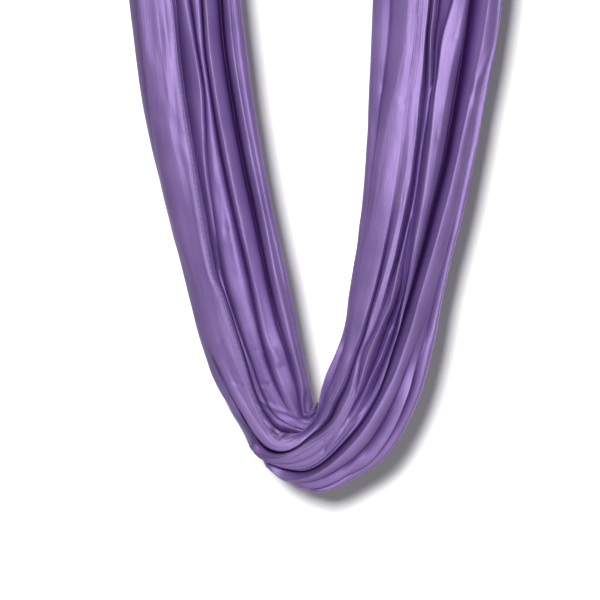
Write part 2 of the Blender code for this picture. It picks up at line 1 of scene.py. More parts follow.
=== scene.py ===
import math

import bpy
import numpy as np
from bpy.props import FloatProperty, FloatVectorProperty, IntProperty, PointerProperty
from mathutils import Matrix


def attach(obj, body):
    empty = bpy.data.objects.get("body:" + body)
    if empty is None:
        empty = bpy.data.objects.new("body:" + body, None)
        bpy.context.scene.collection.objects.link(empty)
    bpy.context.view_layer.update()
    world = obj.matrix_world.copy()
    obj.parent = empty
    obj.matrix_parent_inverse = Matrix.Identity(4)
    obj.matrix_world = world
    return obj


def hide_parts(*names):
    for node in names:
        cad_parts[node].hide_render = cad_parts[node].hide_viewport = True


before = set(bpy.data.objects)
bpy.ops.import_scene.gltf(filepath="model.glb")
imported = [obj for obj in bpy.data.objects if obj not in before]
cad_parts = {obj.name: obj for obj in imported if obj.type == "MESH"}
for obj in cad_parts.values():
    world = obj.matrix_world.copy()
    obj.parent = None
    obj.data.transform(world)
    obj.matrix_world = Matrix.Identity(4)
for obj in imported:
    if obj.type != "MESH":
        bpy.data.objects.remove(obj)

bl_info = {
    "name": "Aerial yoga hammock",
    "version": (1, 0, 0),
    "blender": (4, 5, 0),
    "location": "3D View > Sidebar > Hammock",
    "description": "Gathered nylon sling on two screw-gate carabiners, with its studio",
    "category": "Object",
}

SPAN = 0.740                # between the two carabiners
DROP = 2.200                # from a crown to the lowest cloth
BASKET_Z = -0.096           # centre of the bar that the cloth hangs on
BAR_RADIUS = 0.006
GAP = 0.0006                # between the bar, the eye, the neck and the wrap
NECK_WIDTH, NECK_DEPTH = 0.030, 0.044
EYE_DROP = 0.068            # from the bar's centre to the neck
EYE_TOP = (0.014, 0.007)    # half the eye's width and thickness over the bar
EYE_FOOT = (0.013, 0.0105)  # and at the neck
WRAP_TOP, WRAP_END, WRAP_TURNS = -0.1759, -0.2252, 2.1
WRAP_HALF, WRAP_HALF_HEIGHT = 0.0065, 0.011
TAIL_TOP, TAIL_LENGTH = -0.2368, 0.170
TAIL_GATHERED, TAIL_OPEN = 0.013, 0.0355    # half widths at the wrap and at the tail's end
ROPE_RADIUS = 0.012         # about which the pattern of a gathered end is laid


# Numbers and curves


def pchip(at, knots, values):
    """Piecewise cubics through (knots, values) whose slopes are harmonic means, so that no curve
    overshoots its knots. values may hold one column for each of several curves."""
    knots = np.asarray(knots, float)
    values = np.asarray(values, float)
    values = values.reshape(len(knots), -1)
    step = np.diff(knots)[:, None]
    rise = np.diff(values, axis=0) / step
    slope = np.zeros_like(values)
    before, after = 2 * step[1:] + step[:-1], step[1:] + 2 * step[:-1]
    with np.errstate(divide="ignore", invalid="ignore"):
        mean = (before + after) / (before / rise[:-1] + after / rise[1:])
    slope[1:-1] = np.where(rise[:-1] * rise[1:] > 0, mean, 0.0)
    slope[0], slope[-1] = rise[0], rise[-1]
    k = np.clip(np.searchsorted(knots, at, side="right") - 1, 0, len(step) - 1)
    s = ((np.asarray(at) - knots[k]) / step[k, 0])[:, None]
    found = (
        values[k] * (1 + 2 * s) * (1 - s) ** 2
        + values[k + 1] * s**2 * (3 - 2 * s)
        + step[k] * s * (1 - s) * (slope[k] * (1 - s) - slope[k + 1] * s)
    )
    return found[:, 0] if found.shape[1] == 1 else found


def noise(x, y, seed):
    """Smooth noise from -1 to 1 over the plane: random heights on a unit lattice, joined by
    quintic curves."""
    heights = np.random.default_rng(seed).uniform(-1, 1, (256, 256))
    x, y = np.broadcast_arrays(x, y)
    i, j = np.floor(x).astype(int), np.floor(y).astype(int)
    fx, fy = x - i, y - j
    fx = fx**3 * (fx * (fx * 6 - 15) + 10)
    fy = fy**3 * (fy * (fy * 6 - 15) + 10)
    near = heights[i % 256, j % 256] * (1 - fy) + heights[i % 256, (j + 1) % 256] * fy
    far = heights[(i + 1) % 256, j % 256] * (1 - fy) + heights[(i + 1) % 256, (j + 1) % 256] * fy
    return near * (1 - fx) + far * fx


def smooth(low, high, x):
    """0 below low, 1 above high, and a cubic ramp between them."""
    s = np.clip((x - low) / (high - low), 0, 1)
    return s * s * (3 - 2 * s)


def unit(vectors):
    """Vectors divided by their own length."""
    return vectors / np.maximum(np.linalg.norm(vectors, axis=-1, keepdims=True), 1e-12)


def signed_power(x, power):
    """The size of x to a power, with the sign of x."""
    return np.sign(x) * np.abs(x) ** power


def running(steps):
    """The distance run to each point, from the steps between neighbours along the last axis."""
    return np.cumsum(np.concatenate([np.zeros((*steps.shape[:-1], 1)), steps], -1), -1)


# Meshes


def grid_faces(rows, columns, wrap=False, start=0):
    """Quads over a grid of rows x columns points, joined round if wrap is set."""
    i = np.arange(rows - 1)[:, None]
    j = np.arange(columns if wrap else columns - 1)[None, :]
    k = (j + 1) % columns
    quads = np.stack([i * columns + j, (i + 1) * columns + j, (i + 1) * columns + k,
                      i * columns + k], -1)
    return quads.reshape(-1, 4) + start


def make_piece(name, points, faces, material, uv=None):
    """One object from an array of points and a list of face arrays, with its UV in metres."""
    mesh = bpy.data.meshes.new(name)
    faces = [np.asarray(group) for group in faces]
    loops = np.concatenate([group.ravel() for group in faces])
    totals = np.concatenate([np.full(len(group), group.shape[1]) for group in faces])
    mesh.vertices.add(len(points))
    mesh.vertices.foreach_set("co", np.asarray(points, np.float32).ravel())
    mesh.loops.add(len(loops))
    mesh.loops.foreach_set("vertex_index", loops.astype(np.int32))
    mesh.polygons.add(len(totals))
    starts = np.concatenate([[0], np.cumsum(totals)[:-1]])
    mesh.polygons.foreach_set("loop_start", starts.astype(np.int32))
    mesh.polygons.foreach_set("use_smooth", np.full(len(totals), True))
    mesh.update(calc_edges=True)
    if uv is not None:
        layer = mesh.uv_layers.new(name="cloth")
        layer.data.foreach_set("uv", np.asarray(uv, np.float32)[loops].ravel())
    mesh.validate()
    mesh.materials.append(material)
    piece = bpy.data.objects.new(name, mesh)
    bpy.context.scene.collection.objects.link(piece)
    return piece


# Materials


def linear(code):
    """An sRGB hex colour as linear RGBA."""
    channels = np.array([int(code[i:i + 2], 16) for i in (1, 3, 5)]) / 255
    low, high = channels / 12.92, ((channels + 0.055) / 1.055) ** 2.4
    return (*np.where(channels <= 0.04045, low, high), 1.0)


def add(tree, kind, links=None, **settings):
    """Adds one node, with its settings (attributes, or input sockets by name) and its links."""
    node = tree.nodes.new(kind)
    for key, value in settings.items():
        if hasattr(node, key):
            setattr(node, key, value)
        else:
            node.inputs[key.replace("_", " ")].default_value = value
    for socket, source in (links or {}).items():
        tree.links.new(source, node.inputs[socket])
    return node


def new_material(name, **sockets):
    """A material with one Principled shader, and its tree and shader to build on."""
    material = bpy.data.materials.new(name)
    material.use_nodes = True
    tree = material.node_tree
    shader = tree.nodes["Principled BSDF"]
    for key, value in sockets.items():
        shader.inputs[key.replace("_", " ")].default_value = value
    return material, tree, shader


def nylon_tricot(colours):
    """Warp-knit nylon, 40 denier, dyed lilac and calendered: a close, slippery knit whose filament
    yarn gives a soft silky gloss over a deep violet dye."""
    material, tree, shader = new_material(
        "nylon_tricot", Metallic=0.32, Roughness=0.50, IOR=1.6, Sheen_Weight=0.03,
        Sheen_Roughness=0.4)
    shader.inputs["Sheen Tint"].default_value = linear("#D9CCF2")
    uv = add(tree, "ShaderNodeUVMap", uv_map="cloth").outputs[0]
    # Dye and knit tension vary over hand-wide patches.
    patches = add(tree, "ShaderNodeTexNoise", {"Vector": uv}, Scale=9.0, Detail=3.0)
    ramp = add(tree, "ShaderNodeValToRGB", {"Fac": patches.outputs["Fac"]})
    ramp.color_ramp.elements[0].position = 0.30
    ramp.color_ramp.elements[0].color = (*colours.cloth_shade, 1.0)
    ramp.color_ramp.elements[1].position = 0.70
    ramp.color_ramp.elements[1].color = (*colours.cloth, 1.0)
    # Painted shade down in a fold: the colour is raised to a power that grows with the fold,
    # as for light that has met the dye more often, and right down in it the colour is
    # painted toward a dark fold colour.
    painted_shade_gain, painted_shade_power = 1.3, 2.2
    fold = add(tree, "ShaderNodeAttribute", attribute_name="painted_fold_shade")
    painted_shade_gamma = add(tree, "ShaderNodeMath", {0: fold.outputs["Fac"]}, operation="MULTIPLY_ADD")
    painted_shade_gamma.inputs[1].default_value = painted_shade_gain
    painted_shade_gamma.inputs[2].default_value = 1.0
    dyed = add(tree, "ShaderNodeGamma", {"Color": ramp.outputs["Color"],
                                         "Gamma": painted_shade_gamma.outputs[0]})
    deep = add(tree, "ShaderNodeMath", {0: fold.outputs["Fac"]}, operation="POWER")
    deep.inputs[1].default_value = painted_shade_power
    painted_shade_mix = add(tree, "ShaderNodeMix", {"Factor": deep.outputs[0],
                                           6: dyed.outputs["Color"]}, data_type="RGBA")
    painted_shade_mix.inputs[7].default_value = (*colours.painted_fold_shade_colour, 1.0)
    tree.links.new(painted_shade_mix.outputs[2], shader.inputs["Base Color"])
    # Fine pressing creases run along the cloth: 5 mm apart and some 60 mm long.
    along = add(tree, "ShaderNodeMapping", {"Vector": uv}, Scale=(200.0, 16.0, 1.0))
    creases = add(tree, "ShaderNodeTexNoise", {"Vector": along.outputs[0]}, Scale=1.0, Detail=3.0,
                  Roughness=0.6)
    # The filament yarn lies in streaks along the folds, 1.5 mm apart and 40 mm long.
    along = add(tree, "ShaderNodeMapping", {"Vector": uv}, Scale=(650.0, 25.0, 1.0))
    streaks = add(tree, "ShaderNodeTexNoise", {"Vector": along.outputs[0]}, Scale=1.0, Detail=2.0)
    # Crumples from packing, 12 mm across.
    crumples = add(tree, "ShaderNodeTexNoise", {"Vector": uv}, Scale=80.0, Detail=2.0)
    # The knit's wales, drawn 3.1 mm apart where the real ones, at 0.7 mm, wouldn't show.
    wales = add(tree, "ShaderNodeTexWave", {"Vector": uv}, wave_type="BANDS",
                bands_direction="X", Scale=100.0)
    below = {}
    for pattern, strength, height in ((creases, 0.35, 0.0012), (streaks, 0.4, 0.0006),
                                      (crumples, 0.25, 0.001), (wales, 0.05, 0.0003)):
        bump = add(tree, "ShaderNodeBump", {"Height": pattern.outputs["Fac"], **below},
                   Strength=strength, Distance=height)
        below = {"Normal": bump.outputs[0]}
    tree.links.new(bump.outputs[0], shader.inputs["Normal"])
    return material


def overlocked_hem(colours):
    """The same knit turned over and overlocked with polyester thread, whose shine is dull. The
    threads cross the edge on the slant, drawn 12 mm apart where the real 2 mm wouldn't show."""
    material, tree, shader = new_material(
        "overlocked_hem", Roughness=0.55, IOR=1.6, Sheen_Weight=0.3, Sheen_Roughness=0.4)
    uv = add(tree, "ShaderNodeUVMap", uv_map="cloth").outputs[0]
    threads = add(tree, "ShaderNodeTexWave", {"Vector": uv}, wave_type="BANDS",
                  bands_direction="DIAGONAL", Scale=52.0, Distortion=0.6)
    ramp = add(tree, "ShaderNodeValToRGB", {"Fac": threads.outputs["Fac"]})
    ramp.color_ramp.elements[0].color = (*colours.thread_shade, 1.0)
    ramp.color_ramp.elements[1].color = (*colours.thread, 1.0)
    tree.links.new(ramp.outputs["Color"], shader.inputs["Base Color"])
    bump = add(tree, "ShaderNodeBump", {"Height": threads.outputs["Fac"]}, Strength=0.6,
               Distance=0.0006)
    tree.links.new(bump.outputs[0], shader.inputs["Normal"])
    return material


def polished_aluminium():
    """7075 alloy, hot forged, tumbled and polished: a clear silver with faint tumbling marks and
    some dulling where it is handled."""
    material, tree, shader = new_material("polished_aluminium", Metallic=1.0, Roughness=0.3)
    place = add(tree, "ShaderNodeTexCoord").outputs["Object"]
    # Tumbling marks 2.4 mm across, and handled patches 17 mm across.
    marks = add(tree, "ShaderNodeTexNoise", {"Vector": place}, Scale=420.0, Detail=4.0)
    handled = add(tree, "ShaderNodeTexNoise", {"Vector": place}, Scale=60.0, Detail=2.0)
    gloss = add(tree, "ShaderNodeMapRange", {"Value": handled.outputs["Fac"]}, To_Min=0.24,
                To_Max=0.38)
    tree.links.new(gloss.outputs[0], shader.inputs["Roughness"])
    tone = add(tree, "ShaderNodeValToRGB", {"Fac": marks.outputs["Fac"]})
    tone.color_ramp.elements[0].color = linear("#9A9DA2")
    tone.color_ramp.elements[1].color = linear("#B9BBBF")
    tree.links.new(tone.outputs["Color"], shader.inputs["Base Color"])
    bump = add(tree, "ShaderNodeBump", {"Height": marks.outputs["Fac"]}, Strength=0.12,
               Distance=0.0002)
    tree.links.new(bump.outputs[0], shader.inputs["Normal"])
    return material


def anodised_aluminium():
    """Turned aluminium, bead blasted and anodised black: satin, with a fine even grain and the
    metal showing faintly on the flutes' edges."""
    material, tree, shader = new_material("anodised_aluminium", Metallic=0.85, Roughness=0.38)
    place = add(tree, "ShaderNodeTexCoord").outputs["Object"]
    # Blasted grain 0.7 mm across, drawn coarser than the real 0.1 mm, which wouldn't show.
    grain = add(tree, "ShaderNodeTexNoise", {"Vector": place}, Scale=1500.0, Detail=2.0)
    edges = add(tree, "ShaderNodeNewGeometry").outputs["Pointiness"]
    worn = add(tree, "ShaderNodeMapRange", {"Value": edges}, From_Min=0.52, From_Max=0.62)
    tone = add(tree, "ShaderNodeMix", {"Factor": worn.outputs[0]}, data_type="RGBA")
    tone.inputs["A"].default_value = linear("#2A2A2D")
    tone.inputs["B"].default_value = linear("#6F7075")
    tree.links.new(tone.outputs["Result"], shader.inputs["Base Color"])
    bump = add(tree, "ShaderNodeBump", {"Height": grain.outputs["Fac"]}, Strength=0.15,
               Distance=0.0001)
    tree.links.new(bump.outputs[0], shader.inputs["Normal"])
    return material


def stainless_steel():
    """Drawn stainless wire and turned pins: a darker, warmer silver whose gloss varies finely."""
    material, tree, shader = new_material("stainless_steel", Metallic=1.0, Roughness=0.3)
    place = add(tree, "ShaderNodeTexCoord").outputs["Object"]
    # Marks of drawing and turning, 0.5 mm across.
    marks = add(tree, "ShaderNodeTexNoise", {"Vector": place}, Scale=2000.0, Detail=2.0)
    gloss = add(tree, "ShaderNodeMapRange", {"Value": marks.outputs["Fac"]}, To_Min=0.24,
                To_Max=0.38)
    tree.links.new(gloss.outputs[0], shader.inputs["Roughness"])
    shader.inputs["Base Color"].default_value = linear("#A9A8A6")
    return material


def studio_white(name):
    """Matt white card that throws no shadow itself. The camera and polished metal see it white with
    the object's shadow on it, matt surfaces get the little light that a card further off would send
    back, and from behind it can be seen through."""
    material, tree, shader = new_material(name, Roughness=0.9)
    shader.inputs["Base Color"].default_value = linear("#E8E8E8")
    path = add(tree, "ShaderNodeLightPath")
    seen = add(tree, "ShaderNodeMath", {0: path.outputs["Is Camera Ray"],
                                        1: path.outputs["Is Glossy Ray"]}, operation="MAXIMUM")
    grey = add(tree, "ShaderNodeBsdfDiffuse", Color=linear("#858585"))
    lift = add(tree, "ShaderNodeEmission", Strength=0.07)
    lit = add(tree, "ShaderNodeAddShader", {0: shader.outputs[0], 1: lift.outputs[0]})
    card = add(tree, "ShaderNodeMixShader", {0: seen.outputs[0], 1: grey.outputs[0],
                                             2: lit.outputs[0]})
    clear = add(tree, "ShaderNodeBsdfTransparent")
    back = add(tree, "ShaderNodeNewGeometry").outputs["Backfacing"]
    through = add(tree, "ShaderNodeMath", {0: back, 1: path.outputs["Is Shadow Ray"]},
                  operation="MAXIMUM")
    whole = add(tree, "ShaderNodeMixShader", {0: through.outputs[0], 1: card.outputs[0],
                                              2: clear.outputs[0]})
    tree.links.new(whole.outputs[0], tree.nodes["Material Output"].inputs["Surface"])
    return material


# The gathered cloth

# One row for each cut across the gathered cloth, from left to right: its centre across the span
# and down the drop, as shares, the way its outer end points (180 left, 270 down, 360 right), its
# width and depth in metres.
CUTS = np.array([
    (0.0000, 0.0747, 180.0, 0.030, 0.044),
    (0.0000, 0.1066, 180.0, 0.030, 0.044),
    (0.0743, 0.2727, 180.0, 0.150, 0.072),
    (0.1235, 0.4091, 180.0, 0.205, 0.085),
    (0.1757, 0.5545, 180.0, 0.228, 0.090),
    (0.2108, 0.6455, 180.0, 0.226, 0.090),
    (0.2649, 0.7364, 181.0, 0.214, 0.090),
    (0.3162, 0.8091, 183.0, 0.206, 0.090),
    (0.3527, 0.8636, 186.0, 0.197, 0.090),
    (0.3974, 0.9154, 193.0, 0.181, 0.092),
    (0.4304, 0.9382, 210.0, 0.162, 0.095),
    (0.4463, 0.9476, 223.0, 0.160, 0.097),
    (0.4890, 0.9568, 247.0, 0.172, 0.099),
    (0.5338, 0.9605, 271.4, 0.188, 0.099),
    (0.5830, 0.9524, 295.0, 0.184, 0.097),
    (0.6316, 0.9351, 314.0, 0.201, 0.095),
    (0.6905, 0.8984, 333.0, 0.197, 0.092),
    (0.7257, 0.8627, 348.0, 0.187, 0.090),
    (0.7500, 0.8195, 356.0, 0.192, 0.090),
    (0.7973, 0.7364, 359.0, 0.214, 0.090),
    (0.8324, 0.6455, 360.0, 0.239, 0.090),
    (0.8589, 0.5545, 360.0, 0.263, 0.090),
    (0.9000, 0.4091, 360.0, 0.232, 0.085),
    (0.9384, 0.2727, 360.0, 0.168, 0.072),
    (1.0000, 0.1066, 360.0, 0.030, 0.044),
    (1.0000, 0.0747, 360.0, 0.030, 0.044),
])
NECKS = 2                   # cuts at each end where the cloth is choked
PAPER_TOP_CUTS = [4, -5]    # the cuts of both legs at the top of the paper below
LOWEST_CUTS = [12, 13]      # the cuts on either side of the seat's lowest point
LEG_BOXINESS, NECK_BOXINESS = 2.6, 2.0      # exponents of each cut's outline; 2 is an ellipse

# Fold lines and wrinkles are drawn as seen from the front on 2 mm squared paper, counted from the
# paper's left and top edges.
PAPER_LEFT, PAPER_TOP, SQUARE = -0.239, -1.220, 0.002

# The fold lines across the sheet, front hem first: name, columns to the next line, how steeply the
# cloth leaves this line and arrives at the next (1 for a flat flank, 0 for a level crest), the
# depth of a pinched crevice at the line in mm, where the line runs round the back of the left and
# of the right leg (0 to 1 from the inner to the outer edge over the front, 1 to 2 back over the
# rear, None where it is drawn), its depth there in mm, and the drawn line: squares across, squares
# down, mm deep.
FOLDS = (
    ("hem", 6, (1, 1), 0, None, None, 0, (
        (173, 0, 2.5), (184, 100, 1.8), (194, 160, 1.6), (200, 200, 1), (204, 225, 1),
        (210, 258, 1), (214, 277, 1), (222.5, 293, 0), (228.5, 313, 0), (236.5, 338, 0),
        (243.3, 358, 0), (249.5, 380, 0), (254.6, 397, 0), (261, 413, 0), (270, 428, 0),
        (276, 434, 0), (281, 437, 0), (286, 436.5, 0), (291, 434.5, 0), (297, 432, 1),
        (305, 427, 1), (311, 421, 1), (314.5, 414, 1), (317, 405, 1), (318.5, 396, 1),
        (321, 386, 1), (325, 374, 0), (331.5, 360, 0), (338, 345, 0), (345, 320, 0), (350, 280, 0),
        (355, 240, 0), (361, 200, 0), (366, 140, 0), (368, 100, 0), (370.5, 50, 0),
        (372.4, 0, 0))),
    ("panel_flank", 6, (1, 0.4), 0, None, None, 0, (
        (165, 0, 1), (176, 100, 0.6), (192, 200, 0.3), (201, 250, 0), (215, 300, 0), (231, 350, 0),
        (249, 394, 0), (258, 413.5, 0), (268, 429.5, 0), (276, 436.5, 0), (281.5, 439.6, 0),
        (288, 438, 1), (298, 434.5, 3), (306.5, 428, 7), (312.5, 421.5, 9), (316.5, 414.2, 9),
        (319.2, 405, 9), (321, 396, 9), (323.5, 386.5, 8), (328, 374, 7), (334, 360, 5),
        (340.5, 345, 3), (346, 325, 1.5), (348, 310, 1.2), (353, 280, 1.2), (359, 243, 2),
        (364, 210, 3.5), (368, 180, 4), (372, 150, 4), (375, 125, 4.5), (378, 100, 4.5),
        (383, 67, 4.5), (387, 33, 4), (389, 0, 4))),
    ("panel_fold", 8, (1, 1), 0, None, None, 0, (
        (157, 0, -0.3), (168, 100, -0.2), (184, 200, 0), (192, 250, 0), (206, 300, 0),
        (222, 350, 0), (240, 390, 0), (254, 414, 0), (266, 431, 0), (276, 441, 0), (282, 443.5, 0),
        (290, 440, 0), (300, 436, 1), (309.5, 428.5, 4), (316.5, 419, 6), (322.5, 405, 6),
        (326, 395, 6), (329.5, 388, 6), (334.5, 376, 5), (340.5, 360, 3), (345.5, 345, 2.5),
        (348.5, 330, 2), (351.5, 310, 1.5), (356.7, 280, 2), (363, 250, 2.2), (368, 230, 1.5),
        (372, 208, 0.5), (376, 188, 0), (380, 160, 0), (385, 127, 0), (392, 100, 0), (400, 67, 0),
        (405, 33, 0), (407, 0, 0))),
    ("strip_fold", 4, (1, 1), 0, None, None, 0, (
        (141, 0, -3), (152, 100, -2), (167, 200, -0.5), (176, 240, 0), (184, 270, 1),
        (193, 300, 1), (204, 330, 1), (215, 355, 0), (226, 377, 0), (236, 398, 0), (241, 407.5, 0),
        (245, 415, 0), (249.6, 425, 0), (254.3, 432, 0), (259.8, 438, 0), (265.3, 442.4, 0),
        (270.5, 446, 0), (276, 448.8, 0), (281.7, 450.2, 0), (288.3, 448.6, 0), (295, 445.2, 0),
        (300.6, 440.6, 1), (305, 436.3, 2), (310, 432, 3), (316, 427, 4), (321.5, 420.5, 4),
        (326.5, 412.5, 4), (330, 404, 4), (333, 396, 4), (338, 386, 4), (344, 372, 3),
        (350, 355, 2.5), (358, 335, 2.5), (367, 308, 2.5), (375, 280, 2.5), (384, 240, 1.5),
        (391, 205, 1.5), (398, 160, 0.8), (404, 100, 0.5), (412, 50, 0.5), (415, 0, 0.5))),
    ("strip_under", 5, (2.5, 0.3), 3, None, None, 0, (
        (137, 0, 0.5), (148, 100, 0.5), (163, 200, 0), (173, 240, 0), (181, 270, 0), (190, 300, 0),
        (201, 330, 0.5), (212, 355, 1), (223, 379, 2), (232.5, 402.5, 6), (237.5, 412.3, 9),
        (242, 421.5, 13), (246, 430.8, 17), (249.8, 439, 20), (254.2, 446, 22), (260, 451, 22),
        (267, 453.6, 21), (275, 454.6, 18), (283, 453.2, 13), (292, 448.8, 8), (298, 445.2, 8),
        (303, 440.8, 9), (308, 436.6, 11), (313.5, 432.8, 13), (318.5, 429.6, 14),
        (323, 425.4, 14), (327.5, 419.8, 14), (331.7, 412.8, 14), (334.7, 406, 14),
        (337.8, 398.5, 13), (343.5, 388, 11), (348.5, 374, 9), (354, 357, 8), (361, 338, 8),
        (369, 309, 9), (377, 281, 9), (386, 240, 6), (393, 205, 3), (400, 160, 1.2),
        (406, 100, 0.6), (414, 50, 0.6), (417, 0, 0.6))),
    ("panel_crest", 5, (0.2, 1.2), 0, 1.06, None, 0, (
        (241.4, 428, 8.5), (245.4, 437, 10), (248.5, 446, 10), (251, 452.5, 9), (253.6, 456.4, 8),
        (257, 458.4, 8), (261, 458.8, 8), (268, 457.6, 7), (276, 455.8, 5), (284, 453.4, 3),
        (293, 449.9, 1.5), (298, 447, 1), (303.5, 442.9, 1), (309.4, 438.8, 0.5),
        (317.2, 434.8, 0), (323, 431.4, 0), (327.5, 427.6, 0), (332, 422.6, 0), (336.4, 417.5, 0),
        (339.8, 412, 0), (342.4, 406, 0), (345.3, 400.6, 0), (348.6, 393, 0), (352.5, 380, 0),
        (356, 360, 1), (363.5, 340, 1), (372, 311, 1), (380, 286, 0), (392, 240, 0),
        (400.5, 200, 0), (408, 150, 0.5), (412, 100, 0.7), (418, 50, 0.8), (422, 0, 0.8))),
    ("panel_edge", 3, (1, 1), 0, 1.12, None, 0, (
        (256.8, 459.1, 1.9), (262.8, 460.2, 1.9), (269.5, 459, 1.9), (277.8, 457.8, 1.9),
        (286.1, 455.5, 1.9), (294.8, 452.1, 1.9), (304.7, 445.9, 1.9), (310.6, 441.6, 1.9),
        (318.2, 437.4, 1.9), (324.1, 433.6, 1.9), (328.8, 429.3, 1), (333.4, 424.1, 0.8),
        (337.8, 418.8, 0.4), (341.5, 412.8, 0.4), (344.4, 406.7, 0.4), (347.8, 400.9, 0.4),
        (351.8, 393.3, 0.4), (356, 376, 1), (359.5, 352, 1), (370, 331, 1), (380.5, 303, 0),
        (386, 284, 0), (393.3, 257, 0), (399, 230, 0), (405, 200, 0), (409, 180, 0),
        (411.7, 160, 0), (415, 133, 0), (418, 100, 1), (420.5, 80, 1.1), (422, 60, 1.2),
        (423.6, 40, 1.2), (425.5, 20, 1.2), (427.5, 0, 1.2))),
    ("edge_recess", 4, (1, 1), 10, 1.18, None, 10, (
        (257.8, 459.7, 2.4), (263.8, 461, 2.4), (271.3, 460.3, 2.4), (279.9, 459.4, 2.4),
        (288.5, 457.3, 2.4), (296.9, 454.2, 2.4), (306.1, 448.5, 2.4), (312, 444.2, 2.4),
        (319.4, 439.9, 2.4), (325.2, 435.6, 2.4), (330.2, 430.7, 1.5), (335, 425.2, 1.3),
        (339.4, 419.9, 0.7), (343.1, 413.8, 0.7), (346.3, 407.5, 0.7), (349.8, 401.4, 0.7),
        (353.8, 393.6, 0.7), (357.5, 377, 3), (362, 352, 3), (372.5, 331, 4), (383.5, 303, 5),
        (388, 284, 8), (397, 257, 14), (403.5, 230, 17), (410, 200, 19), (413, 180, 19),
        (415, 160, 17), (419, 133, 15), (422.8, 100, 14), (424.3, 80, 14), (424.8, 60, 14),
        (425.4, 40, 14), (427.5, 20, 13), (429.5, 0, 12))),
    ("pleat_a", 4, (0.0, 3.0), 0, 1.25, None, 0, (
        (258.8, 460.3, 2.8), (264.8, 461.8, 2.8), (273.1, 461.6, 2.8), (282, 461, 2.8),
        (290.9, 459.2, 2.8), (299, 456.3, 2.8), (307.4, 451.1, 2.8), (313.4, 446.9, 2.8),
        (320.6, 442.3, 2.8), (326.4, 437.6, 2.8), (331.6, 432.1, 2), (336.6, 426.4, 1.8),
        (341, 420.9, 1.1), (344.8, 414.8, 1.1), (348.2, 408.3, 1.1), (351.8, 401.9, 1.1),
        (355.8, 393.9, 1.1), (354.5, 394, 0), (360.5, 374, 0), (367, 352, 0), (377.5, 328, 0),
        (388.8, 303, 0), (394, 280, 2), (399.5, 257, 6), (406, 230, 10), (413, 200, 14),
        (416, 180, 14), (418.5, 160, 13), (422.5, 133, 12), (427.2, 100, 11), (428.2, 80, 8),
        (428.5, 60, 5), (428.8, 40, 3), (431, 20, 4), (433, 0, 5))),
    ("valley_a", 4, (1.2, 0.8), 5, 1.31, None, 10, (
        (260.1, 461.1, 3.5), (266.1, 462.8, 3.5), (275.5, 463.4, 3.5), (284.8, 463.1, 3.5),
        (294.2, 461.8, 3.5), (301.8, 459.2, 3.5), (309.3, 454.6, 3.5), (315.2, 450.5, 3.5),
        (322.2, 445.6, 3.5), (328.1, 440.3, 3.5), (333.6, 434.1, 2.6), (338.8, 428.1, 2.4),
        (343.3, 422.4, 1.6), (347.1, 416.1, 3), (350.8, 409.4, 5), (353.5, 402.5, 7),
        (360, 393, 8), (367.5, 376, 13), (376, 352, 18), (384.5, 328, 22), (395, 303, 20),
        (400, 285, 13), (403, 260, 12), (408.5, 230, 13), (415, 200, 12.5), (418, 180, 12.5),
        (420.5, 160, 11.5), (425, 133, 9), (429.5, 100, 7.5), (431.5, 80, 12), (432.5, 60, 14),
        (433.3, 40, 15), (436, 20, 14), (437.5, 0, 14))),
    ("ridge_b", 4, (1, 1), 0, 1.37, None, 0, (
        (262, 462.3, 3.5), (268, 464.4, 3.5), (279, 466, 3.5), (289, 466.3, 3.5),
        (299, 465.6, 3.5), (306, 463.4, 3.5), (312, 459.8, 3.5), (318, 455.8, 3.5),
        (324.5, 450.5, 3.5), (330.5, 444.3, 2.5), (336.5, 437, 2.5), (342, 430.5, 2.5),
        (346.5, 424.5, 2.5), (350.5, 418, 2), (354.5, 411, 2), (358.5, 403.5, 2),
        (362.5, 395, 3.5), (369.5, 378, 8), (380.5, 357, 11), (389, 332, 14), (398.5, 305, 14),
        (402.5, 285, 11), (406, 260, 10), (411, 230, 10), (416.8, 200, 9), (419.5, 180, 8),
        (422, 160, 7), (426, 133, 6), (430, 100, 5), (435, 80, 8), (436, 60, 11), (437, 40, 12),
        (441, 20, 11), (445, 0, 10))),
    ("valley_b", 6, (3, 0.0), 0, 1.43, None, 10, (
        (264.5, 463.8, 4), (270.5, 465.9, 4), (281.2, 467.5, 4), (292, 468.6, 4),
        (301.5, 468.4, 4), (307.8, 465.9, 4), (313.5, 462.2, 4), (319.8, 458.1, 3.5),
        (326.2, 452.9, 3.5), (332.5, 446.5, 3.5), (339, 439.1, 3.5), (345.2, 431.8, 3.5),
        (351, 424.8, 4), (356.2, 416.8, 5), (361.5, 407.8, 7), (368.2, 394.5, 10), (377, 377, 13),
        (385, 358, 16), (393.5, 334, 18), (400, 308, 16), (405, 285, 8), (408.8, 260, 6.5),
        (412.8, 230, 5), (418.5, 200, 4), (421, 180, 3.5), (424, 160, 3), (428, 133, 2),
        (431.8, 100, 2), (434.6, 80, 4), (437, 60, 6), (439.6, 40, 7), (445, 20, 6),
        (450.5, 0, 6))),
    ("pleat_c", 4, (0.7, 1.2), 0, 1.49, None, 0, (
        (267, 465.3, 5), (273, 467.5, 5), (283.5, 469, 5), (295, 470.8, 5), (304, 471.2, 5.5),
        (309.5, 468.5, 5.5), (315, 464.6, 5.5), (321.5, 460.4, 5.5), (328, 455.3, 5.5),
        (334.5, 448.6, 5.5), (341.5, 441.2, 5.5), (348.5, 433, 5.5), (355.5, 425, 6),
        (362, 415.5, 6), (368.5, 404.5, 6), (374, 394, 6), (381.5, 376, 5), (389.5, 352, 4),
        (396, 334, 2), (400.5, 312, 1), (406.3, 286, 0), (411.5, 257, 0), (415.5, 235, 0),
        (421, 205, 0), (425.5, 175, 0), (429.5, 140, 0), (433.5, 100, 0), (436, 80, 0),
        (438.5, 60, 0), (441.3, 40, 0), (447, 20, 0), (453, 0, 0))),
    ("fall_c", 4, (0.6, 1.8), 0, 1.52, None, 3, (
        (268.3, 465.5, 6), (275, 468, 7), (285, 470.5, 7), (295, 472.4, 8), (304.3, 472.4, 8),
